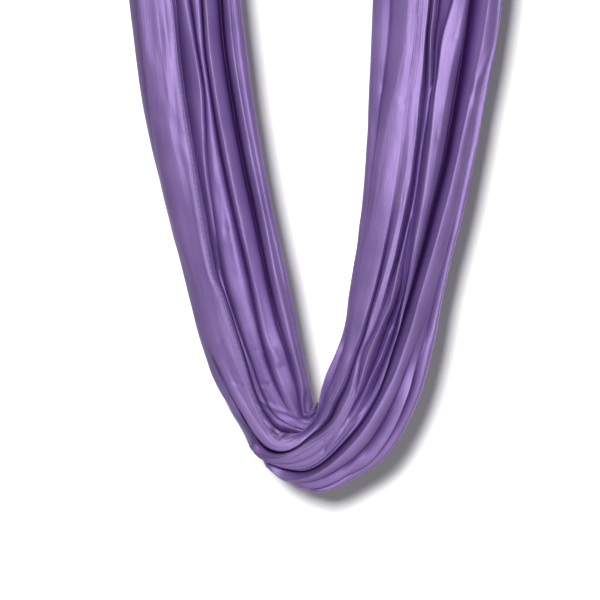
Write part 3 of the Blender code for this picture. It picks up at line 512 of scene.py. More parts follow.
        (310.6, 469.4, 8), (316, 465.5, 8), (322.5, 461.4, 8), (329, 456.2, 8), (335.6, 449.6, 8),
        (342.6, 442.2, 8), (349.7, 434.1, 8), (356.6, 426.2, 8), (363.5, 416.4, 8),
        (370.2, 405.4, 8), (376.5, 393.5, 7), (383.5, 375, 5), (390.8, 352, 3), (397.3, 332, 2),
        (402.5, 312, 1.5), (409, 286, 1.2), (414.5, 257, 1), (419.5, 235, 1), (426, 205, 1),
        (432, 175, 1), (438, 140, 1), (445, 100, 1), (448.5, 80, 1), (453, 60, 1), (458, 40, 1),
        (462, 20, 1), (466, 0, 1))),
    ("valley_c", 6, (1, 1), 10, 1.55, None, 12, (
        (267.5, 466.2, 8), (271.5, 469.8, 13), (278, 475, 17), (286, 478, 18), (294, 477, 19),
        (303, 474.6, 19), (311.5, 470.8, 18), (317, 466.3, 18), (323.3, 462.2, 18), (330, 457, 18),
        (336.5, 450.4, 18), (343.5, 443, 17), (350.5, 435, 17), (357.3, 427, 16), (364.6, 417, 15),
        (371.5, 406, 14), (378.5, 393, 13), (385, 374, 13), (391.5, 352, 14), (398, 330, 16),
        (403.5, 313, 18), (411, 291, 20), (417, 270, 22), (423, 250, 24), (428.5, 228, 25),
        (433.5, 208, 25), (440, 185, 25), (446.5, 160, 25), (450, 140, 24), (457, 100, 24),
        (465, 50, 24), (471.5, 0, 24))),
    ("ridge_d", 6, (-0.8, 3.0), 0, 1.61, None, 0, (
        (266.8, 466.5, 3), (269.2, 470, 2), (274, 475.2, 1), (279, 479.6, 1), (284.5, 481.3, 0.5),
        (292, 479.6, 0), (300.6, 477.3, 0), (308.3, 474.3, 0), (316, 470.6, 0), (325, 465.4, 0),
        (334, 459.2, 0), (341, 452.8, 0), (348.3, 445.2, 0), (356, 436.7, 0), (364.6, 425.2, 0),
        (372, 413.5, 0), (379, 401, 0), (385, 389.5, 0), (393, 374, 0), (401, 352, 0),
        (408, 332, 0), (414, 312, 0), (421.5, 286, 0), (428.5, 262, 0), (435, 240, 0),
        (444, 208, 0), (453, 172, 0), (460.5, 138, 0), (465.5, 115, 0), (471, 90, 0), (480, 50, 0),
        (488, 0, 0))),
    ("flank_d", 6, (1, 0.5), 0, 1.67, None, 6, (
        (290, 483, 1), (304, 482.5, 3), (320, 479, 5), (334, 472.5, 6), (350, 463, 7),
        (364, 450, 7), (376, 435, 7), (388, 414, 7), (398, 393, 7), (407, 370, 7), (415, 348, 4),
        (423, 328, 4), (430, 306, 2.2), (437, 280, 2.5), (443, 262, 2.5), (449, 240, 2.5),
        (457, 208, 2.5), (465, 172, 2.5), (470, 140, 2), (474, 115, 1.8), (480.5, 90, 1),
        (490, 50, 0), (495, 0, 0))),
    ("ridge_e", 3, (1, 1), 0, 1.73, None, 0, (
        (298, 486, 0), (314, 488, 1), (332, 484, 2), (350, 475, 3), (366, 466.5, 1), (376, 454, 0),
        (386, 440.5, 0), (396, 423, 0), (404, 404, 1), (411, 388, 3), (417, 366, 5),
        (422.5, 348, 5), (428, 330, 5), (436, 306, 6), (442, 280, 6), (447, 262, 6),
        (452.5, 240, 6), (461.5, 208, 6), (469, 172, 6), (475.5, 140, 5), (479.5, 115, 5),
        (484.5, 90, 4), (492, 50, 1.5), (498, 0, 1))),
    ("gap_e", 4, (1.8, 0.4), 8, 1.79, None, 10, (
        (306, 488, 3), (320, 489, 5), (338, 484.5, 7), (354, 476, 10), (370, 464.5, 14),
        (380.5, 452, 18), (389, 439, 19), (399, 422, 19), (407, 404, 17), (413.5, 388, 12),
        (419, 368, 7), (425, 349, 5), (430, 331, 8), (437.5, 306, 9), (443.5, 280, 9.5),
        (448.5, 262, 10), (454.5, 240, 10), (463.5, 208, 10), (472, 172, 10), (479, 140, 9),
        (484, 115, 8), (488, 90, 7), (494.5, 50, 6), (500, 0, 4))),
    ("strip_f", 5, (0.5, 1), 0, 1.85, None, 0, (
        (314, 489, 0), (328, 489.5, 0), (344, 483.5, 0), (360, 475.5, 0), (376, 465, 0),
        (388, 452, 0), (398, 438, 0), (407, 420, 0), (414, 403, 0), (420, 387, 0),
        (425, 367, 0), (430.5, 348, 0), (434.5, 330, 0), (440, 306, 1), (446, 280, 1),
        (450.5, 262, 2), (457, 240, 2), (466, 208, 2), (474, 172, 2), (481, 140, 2),
        (486, 115, 2), (489.5, 90, 1), (495, 50, 0), (502, 0, 0))),
    ("outer_edge", 4, (0.5, 1.5), 0, 1.90, 1.04, 0, ()),
    ("rear_valley_1", 4, (1.5, 0.4), 3, 1.925, 1.10, 10, ()),
    ("rear_pleat_1", 4, (0.4, 1.5), 0, 1.95, 1.17, 0, ()),
    ("rear_valley_2", 5, (1.5, 0.4), 3, 1.97, 1.25, 12, ()),
    ("rear_pleat_2", 5, (0.5, 0.5), 0, 1.985, 1.34, 0, ()),
    ("inner_edge", 4, (0.5, 1), 0, 2.0, 1.42, 0, ()),
    ("inner_crevice", 4, (3, 0.0), 6, None, 1.46, 4, (
        (234.5, 0, 6), (237.5, 40, 6), (247, 100, 6), (259, 160, 6), (273, 220, 5), (286, 280, 4),
        (295.5, 320, 4), (304.5, 360, 4), (309.5, 385, 4), (313, 396, 4), (316, 403, 6))),
    ("inner_ridge", 6, (0.0, 3), 0, None, 1.50, 2, (
        (229.5, 0, 0), (233, 40, 0), (242, 100, 0), (253.5, 160, 0), (266, 220, 0), (278, 280, 0),
        (290, 320, 0), (298, 360, 0), (305, 385, 2), (309, 398, 8), (312, 406, 12))),
    ("deep_valley", 7, (1, 0.6), 5, None, 1.57, 12, (
        (226, 0, 24), (228.5, 40, 24), (237.5, 100, 24), (248.5, 160, 23), (261, 220, 20),
        (272, 280, 16), (281, 320, 12), (292, 355, 9), (301, 383, 9), (306, 398, 14),
        (311, 409, 18))),
    ("pleat_1", 5, (0.0, 3), 0, None, 1.63, 2, (
        (207, 0, 4), (210, 40, 4), (218, 100, 5), (229.5, 160, 6), (242.5, 220, 7), (256, 280, 9),
        (266.5, 322, 10), (279, 360, 8), (288, 386, 8), (302, 410, 13), (310, 415, 16))),
    ("crease_1", 6, (3, 0.0), 5, None, 1.69, 12, (
        (203, 0, 15), (205, 40, 15), (213, 100, 16), (223, 160, 17), (236, 220, 17),
        (250, 280, 16), (258, 322, 16), (267, 360, 16), (279, 392, 15), (292, 413, 15),
        (309, 421, 15))),
    ("facet", 5, (0.0, 3), 0, None, 1.75, 2, (
        (197.5, 0, 8), (200.5, 40, 9), (208.5, 100, 11), (213.5, 160, 11), (222, 220, 11),
        (232.5, 280, 9), (247.5, 322, 9), (259.5, 360, 12), (272, 398, 14), (284, 415, 15),
        (308, 425, 14))),
    ("crease_2", 4, (3, 0.0), 5, None, 1.80, 12, (
        (191, 0, 16), (196.5, 40, 16), (205.5, 100, 15), (207.5, 160, 14), (214, 220, 15),
        (224, 280, 16), (237, 322, 14), (250.5, 360, 15), (264, 397, 17), (276, 417, 17),
        (307, 428, 15))),
    ("pleat_2", 4, (0.3, 1.2), 0, None, 1.85, 2, (
        (184.5, 0, 9), (192.5, 40, 8), (201, 100, 8), (203.5, 160, 12), (210, 220, 15),
        (220.5, 280, 18), (234, 322, 16), (247, 360, 16), (257, 393, 17), (268, 414, 17),
        (280, 424, 17), (306, 430, 15))),
    ("recess", 3, (1, 1), 6, None, 1.90, 12, (
        (176, 0, 20), (178.5, 40, 20), (185.5, 100, 20), (195.5, 160, 20), (206, 220, 21),
        (217, 280, 22), (225.5, 297, 21), (236.5, 332, 20), (244.8, 359, 20), (253, 389, 21),
        (262, 410, 21), (274, 427, 22), (283, 431, 21), (304, 431.5, 18))),
    ("underlay", 0, (1, 1), 0, None, 1.95, 12, ()),
)

# Wrinkles on the front, each: how it stands (a ridge, a crease, or a step that is raised to the
# right of the line as it is drawn), half width in squares, height in mm, and the drawn line in
# squares across and down.
WRINKLES = (
    ("ridge", 1.5, 2.4, ((256, 398), (272, 407), (288, 412.5), (310, 421))),
    ("ridge", 1.2, 1.6, ((257.5, 404), (265, 412))),
    ("ridge", 5.0, 3.0, ((264, 419), (282, 426), (300, 427))),
    ("crease", 2.2, 5.0, ((269, 429), (278, 436), (289, 432))),
    ("ridge", 1.3, 1.8, ((225, 203), (231.7, 225), (236.7, 246.7), (242.5, 273), (248.3, 288))),
    ("crease", 1.2, 1.8, ((225.8, 200), (225.8, 241))),
    ("ridge", 1.1, 1.2, ((233, 200), (234, 233))),
    ("crease", 1.8, 3.2, ((218, 262), (222, 278), (226.7, 293))),
    ("step", 1.6, 2.6, ((284, 407), (278, 388), (272, 367), (263, 350), (253, 317), (245, 300))),
    ("ridge", 4.0, 2.2, ((271, 345), (282, 367))),
    ("crease", 1.2, 1.4, ((245, 350), (262, 350))),
    ("crease", 1.2, 1.4, ((232, 339), (255, 337.5))),
    ("crease", 1.8, 2.4, ((258, 381), (264, 385), (270, 383))),
    ("ridge", 1.6, 1.6, ((277, 240), (280.5, 246), (279.5, 252))),
    ("crease", 1.4, 1.4, ((232, 380), (245, 385))),
    ("crease", 1.4, 1.4, ((215, 347), (225, 338))),
    ("step", 1.6, 3.0, ((468, 142), (471.7, 133), (473, 117), (471.7, 107), (470.8, 93), (473, 83),
                        (480, 72), (486.7, 55), (497, 36))),
    ("crease", 1.4, 1.2, ((391, 35), (399, 62))),
    ("crease", 1.4, 1.2, ((395, 95), (400, 101), (405, 103))),
    ("crease", 1.6, 1.2, ((382, 80), (385, 120))),
    ("crease", 1.6, 1.2, ((370, 105), (376, 140))),
    ("crease", 1.3, 1.4, ((455, 20), (456, 50))),
    ("crease", 1.3, 1.4, ((437, 120), (437, 150))),
    ("crease", 5.0, 5.0, ((386, 300), (388, 318), (389, 332))),
    ("ridge", 5.0, 2.6, ((345, 424), (335, 440), (325, 453))),
    ("crease", 1.2, 1.4, ((347, 423), (358, 418))),
    ("ridge", 4.0, 2.4, ((366, 449), (350, 470), (335, 487))),
    ("ridge", 1.3, 2.0, ((270, 468), (277, 475), (284, 480))),
    ("ridge", 1.5, 2.4, ((280, 470), (286, 475), (292, 478))),
    ("ridge", 1.2, 2.0, ((290, 472), (300, 475))),
    ("crease", 1.4, 1.6, ((323, 436), (324.5, 455))),
    ("ridge", 3.5, 2.0, ((323, 489), (335, 480), (347, 469), (361, 452))),
)

# Of every fold line but the last, which ends the sheet.
COLUMNS = [fold[1] for fold in FOLDS[:-1]]
SLOPES = [fold[2] for fold in FOLDS[:-1]]
CREVICES = np.array([fold[3] for fold in FOLDS[:-1]]) / 1000
INNER_EDGE = [fold[0] for fold in FOLDS].index("inner_edge")    # of the left leg

# The underlay's place round the bundle and its depth in metres: on the left leg at the top of the
# paper, this far past the seat's lowest point, and at three cuts going up the right leg; and how
# far round the bundle it keeps from the hem.
UNDERLAY_START = 0.01
UNDERLAY_CUTS = [14, 17, 18]
UNDERLAY_PLACES = [2.63, 2.20, 2.04, 2.01, 1.97]
UNDERLAY_DEPTHS = [0.010, 0.018, 0.003, 0.001, 0.004]
UNDERLAY_CLEAR = 0.03

NECK_PLACE = 0.6            # where the front hem lies round the left neck; 0 round the right
NECK_FOLD_DEPTH = 0.35      # share of a fold's depth that is left at the necks
DEEPENED, DEEPEST = 2.1, 0.042      # folds are 2.1 times as deep as drawn, and 42 mm at most

# Metres that a drawn line takes to reach its place at the back of the left and the right leg, and
# metres before and after the seat's lowest point at which the other lines change places.
TO_LEFT_BACK, TO_RIGHT_BACK = 0.10, 0.12
INNER_EDGE_CHANGE, REAR_CHANGE = (0.05, 0.16), (0.12, 0.04)

# Small folds: metres from one to the next, their length, how far across they slant in a length,
# their height and the seed of their noise.
SMALL_FOLDS = (
    (0.011, 0.22, math.inf, 0.0012, 11),
    (0.006, 0.10, 0.05, 0.0005, 12),
    (0.018, 0.040, 0.03, 0.0005, 13),
)
SMALL_FOLD_ROOM = 0.0012    # how far the sheet is sunk so that small folds stay in the outline

# The painted shade down in a fold: how far to either side the mean depth is taken, the depths
# below that mean at which the painted shade starts and is full, and its share of the whole. A
# point's own depth adds a little painted shade, from and to the depths given.
SHADES = ((0.009, 0.0003, 0.008, 0.80), (0.030, 0.003, 0.014, 0.25))
DEPTH_SHADE = (0.008, 0.030, 0.18)
# The underlay keeps a share of its painted shade, and the layers inside the bundle are painted with
# an even shade.
UNDERLAY_SHADE = 0.3        # share of its shade that the underlay keeps
INNER_SHADE = 0.4           # of the layers inside the bundle

HEM_COLUMNS = 9             # columns of the sheet that the hem may need for its width
HEM_THICKNESS = 0.0004      # to either side of the sheet


class Bundle:
    """The gathered cloth's middle line with the width, depth and direction of each cut, and the
    distance run along it."""

    def __init__(self):
        self.knots = running(np.hypot(np.diff(CUTS[:, 0] * SPAN), np.diff(CUTS[:, 1] * DROP)))
        self.length = self.knots[-1]

    def at(self, run):
        """The middle line at each distance run, the way its outer end points, its width and depth
        and the exponent of its outline: curves through the rows of CUTS."""
        x, z, turn, wide, deep = pchip(run, self.knots, CUTS * (SPAN, -DROP, 1, 1, 1)).T
        boxy = np.full(len(CUTS), LEG_BOXINESS)
        boxy[:NECKS] = boxy[-NECKS:] = NECK_BOXINESS
        out = np.stack([np.cos(np.radians(turn)), np.sin(np.radians(turn))], 1)
        return x, z, out, wide, deep, pchip(run, self.knots, boxy)

    def crossings(self, run, line):
        """Where each cut crosses a drawn line: whether it does, the place round the bundle and the
        depth. A cut crosses between two drawn points that lie on either side of it, no further out
        than 0.6 of its width."""
        x, z, out, wide, *_ = self.at(run)
        away_x = PAPER_LEFT + SQUARE * line[None, :, 0] - x[:, None]
        away_z = PAPER_TOP - SQUARE * line[None, :, 1] - z[:, None]
        ahead = away_z * out[:, :1] - away_x * out[:, 1:]
        aside = away_x * out[:, :1] + away_z * out[:, 1:]
        share = ahead[:, :-1] / (ahead[:, :-1] - ahead[:, 1:] + 1e-12)
        reach = aside[:, :-1] + share * np.diff(aside, axis=1)
        depth = line[None, :-1, 2] + share * np.diff(line[:, 2])[None, :]
        gap = np.where(ahead[:, :-1] * ahead[:, 1:] <= 0, np.abs(reach), np.inf)
        rows, nearest = np.arange(len(run)), gap.argmin(axis=1)
        found = gap[rows, nearest] < 0.6 * wide
        place = np.clip(reach[rows, nearest] / wide + 0.5, 0.004, 0.996)
        return found, place, depth[rows, nearest] / 1000

    def fold_lines(self, run):
        """Place round the bundle and depth of every fold line at each distance run: as drawn where
        the line shows, at its given place where it runs round the back, evenly spaced at the
        necks, and straight in between, all worked out every 2 mm and smoothed over 10 mm along
        the cloth."""
        top_left, top_right = self.knots[PAPER_TOP_CUTS]
        middle = self.knots[LOWEST_CUTS].mean()
        fine = np.linspace(0, self.length, 2200)
        places, depths = [], []
        for k, (name, *_, left, right, deep, drawn) in enumerate(FOLDS):
            even = 2 * k / len(FOLDS)
            at = [*self.knots[:NECKS]]
            place = [NECK_PLACE + even] * NECKS
            depth = [NECK_FOLD_DEPTH * deep / 1000] * NECKS
            if drawn:
                found, where, how_deep = self.crossings(fine, drawn_line(drawn))
                if k >= INNER_EDGE:
                    where = where + 2
                first, last = fine[found][[0, -1]]
                if left is not None:
                    at += [top_left, first - TO_LEFT_BACK]
                    place += [left] * 2
                    depth += [deep / 1000] * 2
                at += list(fine[found])
                place += list(where[found])
                depth += list(how_deep[found])
                if right is not None:
                    at += [last + TO_RIGHT_BACK, top_right]
                    place += [right] * 2
                    depth += [deep / 1000] * 2
            elif name == "underlay":
                at += [top_left, middle + UNDERLAY_START, *self.knots[UNDERLAY_CUTS], top_right]
                place += [*UNDERLAY_PLACES, right]
                depth += [*UNDERLAY_DEPTHS, deep / 1000]
            else:
                leaves, arrives = INNER_EDGE_CHANGE if k == INNER_EDGE else REAR_CHANGE
                at += [top_left, middle - leaves, middle + arrives, top_right]
                place += [left, left, right, right]
                depth += [deep / 1000] * 4
            at += [*self.knots[-NECKS:]]
            place += [even] * NECKS
            depth += [NECK_FOLD_DEPTH * deep / 1000] * NECKS
            places.append(np.interp(fine, at, place))
            depths.append(np.interp(fine, at, depth))
        places, depths = np.array(places), np.array(depths)
        hem, under = places[0], places[-1]
        clear = np.maximum(hem + 2 + UNDERLAY_CLEAR, under)
        places[-1] = np.where(fine < middle, clear, under)
        places, depths = soften(places, 5), soften(depths, 5)
        row = np.interp(run, fine, np.arange(len(fine)))
        low = row.astype(int).clip(0, len(fine) - 2)
        share = row - low
        return [(lines[:, low] * (1 - share) + lines[:, low + 1] * share).T
                for lines in (places, depths)]


def drawn_line(points):
    """A smooth line through drawn points, in even steps of the distance along them."""
    points = np.array(points, float)
    run = running(np.hypot(*np.diff(points[:, :2], axis=0).T))
    return pchip(np.linspace(0, run[-1], 240), run, points)


def soften(rows, reach):
    """Each row averaged with its neighbours by a bell curve, reach samples wide."""
    bell = np.exp(-0.5 * (np.arange(-3 * reach, 3 * reach + 1) / reach) ** 2)
    padded = np.pad(rows, ((0, 0), (3 * reach, 3 * reach)), mode="edge")
    return np.array([np.convolve(row, bell / bell.sum(), mode="valid") for row in padded])


def hull_angle(place, boxy):
    """The angle that runs evenly round a superellipse, from a place that counts its width: the
    arc cosine of the share of the half width to the power of half the exponent."""
    turns = np.floor(place / 2)
    place = place - 2 * turns
    share = np.where(place < 1, 2 * place - 1, 3 - 2 * place)
    angle = np.arccos(np.clip(-signed_power(share, boxy / 2), -1, 1))
    return np.where(place < 1, angle, 2 * math.pi - angle) + 2 * math.pi * turns


def hull_point(angle, boxy, wide, deep):
    """Offset along the cut and to the rear of a point on the superellipse, which are the cosine
    and the sine to the power of 2 through its exponent, and its outward normal."""
    c, s = -np.cos(angle), -np.sin(angle)
    power = 2 / boxy
    along = signed_power(c, power) * wide / 2
    rear = signed_power(s, power) * deep / 2
    normal = unit(np.stack([signed_power(c, 2 - power) / wide,
                            signed_power(s, 2 - power) / deep], -1))
    return along, rear, normal


def across_folds(angles, depths):
    """Angle round the bundle and depth at every column: between two fold lines the angle goes
    evenly, and the depth follows the cubic that has the given slopes at both. Columns lie closer
    together near the lines."""
    angle, depth = [], []
    for k, (columns, (leaves, arrives)) in enumerate(zip(COLUMNS, SLOPES)):
        s = (1 - np.cos(math.pi * np.arange(columns) / columns))[None, :] / 2
        a0, a1 = angles[:, k:k + 1], angles[:, k + 1:k + 2]
        d0, d1 = depths[:, k:k + 1], depths[:, k + 1:k + 2]
        m0, m1 = leaves * (d1 - d0), arrives * (d1 - d0)
        angle.append(a0 + (a1 - a0) * s)
        depth.append(d0 * (1 + 2 * s) * (1 - s) ** 2 + d1 * s**2 * (3 - 2 * s)
                     + s * (1 - s) * (m0 * (1 - s) - m1 * s))
    return (np.concatenate([*angle, angles[:, -1:]], 1),
            np.concatenate([*depth, depths[:, -1:]], 1))


def sheet_points(bundle, run):
    """The sheet as a grid, and the painted shade of each point down in a fold. The grid has one row
    for each distance run along the bundle and one column for each point across it, at its depth
    inside the bundle's outline: the drawn depth times DEEPENED, levelled off at DEEPEST as a
    hyperbolic tangent is. Smooth noise, stretched along the cloth, adds small folds, flatter where
    the columns lie close together."""
    x, z, out, wide, deep, boxy = bundle.at(run)
    places, depths = bundle.fold_lines(run)
    angles = np.maximum.accumulate(hull_angle(places, boxy[:, None]), axis=1)
    angle, depth = across_folds(angles, DEEPEST * np.tanh(depths * DEEPENED / DEEPEST))
    opened = open_crevices(depths)
    depth = depth + np.append(np.repeat(CREVICES, COLUMNS), 0) * opened
    along, rear, normal = hull_point(angle, boxy[:, None], wide[:, None], deep[:, None])
    steps = np.hypot(np.diff(along, axis=1), np.diff(rear - depth, axis=1))
    across = running(steps.mean(axis=0))[None, :]
    round_outline = running(np.hypot(np.diff(along, axis=1), np.diff(rear, axis=1)).mean(axis=0))
    # Small folds grow from the necks, 30 mm wide, to where the cloth is 150 mm wide.
    wide_enough = smooth(0.03, 0.15, wide)[:, None]
    way = run[:, None]
    spacing = np.hypot(np.gradient(along, axis=1), np.gradient(rear, axis=1))
    spacing = np.gradient(np.cumsum(spacing, axis=1), axis=1)
    room = np.clip(1.5 * spacing / spacing.mean(axis=0), 0.1, 1)
    small = sum(noise(across / apart, way / long + across / slant, seed) * high
                for apart, long, slant, high, seed in SMALL_FOLDS)
    sunk = depth + SMALL_FOLD_ROOM * wide_enough + small * room * (0.3 + 0.7 * wide_enough)
    along = along - normal[..., 0] * sunk
    rear = rear - normal[..., 1] * sunk
    points = np.stack([x[:, None] + along * out[:, :1], rear, z[:, None] + along * out[:, 1:]], -1)
    points[..., 1] -= wrinkled(points)
    # The painted shade of a pinched crevice fades here and there along it.
    fades = smooth(-0.9, 0.2, noise(way / 0.05, across / 0.01, 15))
    pinched = opened * wide_enough * (0.35 + 0.65 * fades)
    painted_fold_shade = np.maximum(painted_shade_in_folds(round_outline, sunk), pinched)
    painted_fold_shade[:, -COLUMNS[-1]:] *= UNDERLAY_SHADE
    return points, painted_fold_shade


def open_crevices(depths):
    """How far the pinched crevice of each fold line is open, 0 to 1 in its column and 0 in the
    others: it closes where the line lies less than 3 mm deeper than the next line on either
    side."""
    sides = np.maximum(depths[:, :-2], depths[:, 2:])
    valley = np.pad(smooth(0.0, 0.003, depths[:, 1:-1] - sides), ((0, 0), (1, 0)))
    opened = np.zeros((len(depths), sum(COLUMNS) + 1))
    opened[:, np.cumsum([0, *COLUMNS[:-1]])] = valley * (CREVICES > 0)
    return opened


def painted_shade_in_folds(across, depth):
    """Painted shade for each point down in a fold, 0 to 1: the greater of the two painted shades
    for its depth below the mean depth near it and further round, with a little more for its whole
    depth."""
    width = np.gradient(across)
    apart = across[:, None] - across[None, :]
    found = []
    for reach, low, high, most in SHADES:
        near = np.exp(-((apart / reach) ** 2)) * width[:, None]
        found.append(most * smooth(low, high, depth - depth @ (near / near.sum(axis=0))))
    low, high, most = DEPTH_SHADE
    return 1 - (1 - np.maximum(*found)) * (1 - most * smooth(low, high, depth))


def wrinkled(points):
    """How far the drawn wrinkles lift each point that faces the front: a bell curve of the distance
    from the line, or, for a step, a rise at the line that dies away on its right; all taper over
    the last quarter of the line at both ends, and reach 6 half widths."""
    facing = np.cross(np.gradient(points, axis=0), np.gradient(points, axis=1))
    front = smooth(0.1, 0.4, np.abs(unit(facing)[..., 1])) * (points[..., 1] < 0.02)
    spots = np.stack([points[..., 0] - PAPER_LEFT, PAPER_TOP - points[..., 2]], -1) / SQUARE
    lift = np.zeros(front.shape)
    for kind, half, high, line in WRINKLES:
        line = np.array(line, float)
        beyond = (spots <= line.min(axis=0) - 6 * half) | (spots >= line.max(axis=0) + 6 * half)
        near = (front > 0) & ~beyond.any(axis=-1)
        spot = spots[near][:, None, :]
        leg = np.diff(line, axis=0)
        long = np.linalg.norm(leg, axis=1)
        share = np.clip(((spot - line[:-1]) * leg).sum(-1) / long**2, 0, 1)
        away = spot - line[:-1] - share[..., None] * leg
        far = np.linalg.norm(away, axis=-1)
        k = far.argmin(axis=1)
        rows = np.arange(len(k))
        far, share, away = far[rows, k], share[rows, k], away[rows, k]
        run = (running(long)[k] + share * long[k]) / long.sum()
        side = np.sign(leg[k, 0] * away[:, 1] - leg[k, 1] * away[:, 0])
        bell = np.exp(-(far / half) ** 2)
        if kind == "step":
            bell = smooth(-half, half, side * far) * np.exp(-np.maximum(side * far, 0) / (3 * half))
        taper = smooth(0, 0.25, run) * smooth(0, 0.25, 1 - run)
        lift[near] += (-1 if kind == "crease" else 1) * high / 1000 * bell * taper
    return lift * front


def inner_layers(bundle, run):
    """The rest of the sheet, folded to and fro inside the bundle: a serpentine of layers, evenly
    spaced from the front to the rear of the room inside, each a cosine sweep from side to side.
    They lie towards the rear, clear of the deep folds in front, and fill the bundle at the
    necks."""
    x, z, out, wide, deep, _ = bundle.at(run)
    layers, steps = 14, 6
    s = np.arange(layers * steps + 1)[None, :] / steps
    share = run / bundle.length
    lean = pchip(share, [0, 0.1, 0.9, 1], [0, 0.42, 0.42, 0])[:, None]
    spread = pchip(share, [0, 0.1, 0.9, 1], [0.5, 0.36, 0.36, 0.5])[:, None]
    reach = pchip(share, [0, 0.3, 0.45, 0.6, 0.8, 1], [0.41, 0.40, 0.34, 0.34, 0.40, 0.41])
    rear = (lean + spread * (2 * s / layers - 1)) * deep[:, None] / 2
    along = signed_power(-np.cos(math.pi * s), 0.8) * wide[:, None] * reach[:, None]
    return np.stack([x[:, None] + along * out[:, :1], rear, z[:, None] + along * out[:, 1:]], -1)


def ring_runs(bundle):
    """Distances run for the rows of the sheet: 2.8 mm apart where the cloth turns through the
    seat, 6.3 mm apart on the legs and 16.3 mm apart at the top."""
    run = np.linspace(0, 1, 2001) * bundle.length
    away = np.abs(run - bundle.length / 2)
    apart = 0.0028 + 0.0035 * smooth(0.16, 0.30, away) + 0.010 * smooth(0.85, 1.0, away)
    per_metre = 1 / apart
    count = running((per_metre[1:] + per_metre[:-1]) / 2 * np.diff(run))
    return np.interp(np.linspace(0, count[-1], int(round(count[-1]))), count, run)


def developed(points):
    """Distances over the sheet from its first column and its first row, as UV in metres: the mean
    of all rows across, and the median of all columns along."""
    u = running(np.linalg.norm(np.diff(points, axis=1), axis=2)).mean(axis=0)
    v = running(np.median(np.linalg.norm(np.diff(points, axis=0), axis=2), axis=1))
    return np.stack(np.meshgrid(u, v), -1)


# Sizes, colours and pieces


class HammockSizes(bpy.types.PropertyGroup):
    hem_width: FloatProperty(
        name="Hem width", description="Width of the turned and overlocked edge", default=0.0035,
        min=0.002, max=0.02, subtype="DISTANCE", unit="LENGTH")
    eye_folds: IntProperty(
        name="Eye folds", description="Small folds round each gathered end", default=15, min=6,
        max=40)
    camera_distance: FloatProperty(
        name="Camera distance", description="From the camera to the hammock", default=3.4,
        min=1.0, max=20.0, subtype="DISTANCE", unit="LENGTH")


class HammockColours(bpy.types.PropertyGroup):
    cloth: FloatVectorProperty(
        name="Cloth", description="Dyed nylon where the dye is palest", subtype="COLOR", size=3,
        min=0.0, max=1.0, default=linear("#9276B6")[:3])
    cloth_shade: FloatVectorProperty(
        name="Cloth shade", description="Dyed nylon where the dye is deepest", subtype="COLOR",
        size=3, min=0.0, max=1.0, default=linear("#8468A8")[:3])
    # Painted shade: the dark colour that the cloth is painted toward down in its folds.
    painted_fold_shade_colour: FloatVectorProperty(
        name="Cloth in the folds", description="Dyed nylon seen down in a fold", subtype="COLOR",
        size=3, min=0.0, max=1.0, default=linear("#3A0A4A")[:3])
    thread: FloatVectorProperty(
        name="Thread", description="Overlock thread", subtype="COLOR", size=3, min=0.0, max=1.0,
        default=linear("#9074B3")[:3])
    thread_shade: FloatVectorProperty(
        name="Thread shade", description="Between the overlock threads", subtype="COLOR", size=3,
        min=0.0, max=1.0, default=linear("#8065A4")[:3])


class HAMMOCK_OT_sling(bpy.types.Operator):
    """Makes the gathered cloth, from neck to neck, with its inner layers"""

    bl_idname = "hammock.sling"
    bl_label = "Sling cloth"

    def execute(self, context):
        bundle = Bundle()
        run = ring_runs(bundle)
        outer, painted_fold_shade = sheet_points(bundle, run)
        # The layers inside have every fourth row of the sheet, and its last.
        inner = inner_layers(bundle, np.append(run[:-1:4], run[-1]))
        uv = developed(outer)
        uv_inner = developed(inner) + (uv[..., 0].max(), 0)
        points = np.concatenate([outer.reshape(-1, 3), inner.reshape(-1, 3)])
        faces = [grid_faces(*outer.shape[:2]),
                 grid_faces(*inner.shape[:2], start=outer.shape[0] * outer.shape[1])]
        cloth = nylon_tricot(context.scene.hammock_colours)
        piece = make_piece("sling", points, faces, cloth,
                           np.concatenate([uv.reshape(-1, 2), uv_inner.reshape(-1, 2)]))
        # Painted shade, as the attribute that darkens the cloth in its folds: the sheet's own, and
        # an even painted shade on the inner layers.
        layer = piece.data.attributes.new("painted_fold_shade", "FLOAT", "POINT")
        layer.data.foreach_set("value", np.concatenate(
            [painted_fold_shade.ravel(), np.full(inner.size // 3, INNER_SHADE)]).astype(np.float32))
        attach(piece, "sling")
        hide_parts("sling_cloth")
        return {"FINISHED"}


class HAMMOCK_OT_ends(bpy.types.Operator):
    """Makes the eyes, choke wraps and tails of the cloth on both carabiners"""

    bl_idname = "hammock.ends"
    bl_label = "Cloth ends"

    def execute(self, context):
        cloth = bpy.data.materials["nylon_tricot"]
        folds = context.scene.hammock_sizes.eye_folds
        for seed, (side, x) in enumerate((("left", 0.0), ("right", SPAN))):
            pieces = {
                "cloth_eye": gathered_rope(f"{side}_eye", eye_path(x), folds, seed, cloth),
                "choke_wrap": gathered_rope(f"{side}_wrap", wrap_path(x), folds - 4, seed + 5,
                                            cloth),
                "cloth_tail": pleated_tail(f"{side}_tail", x, seed + 9, cloth),
            }
            for node, piece in pieces.items():
                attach(piece, "sling")
                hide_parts(f"{side}_{node}")
        return {"FINISHED"}


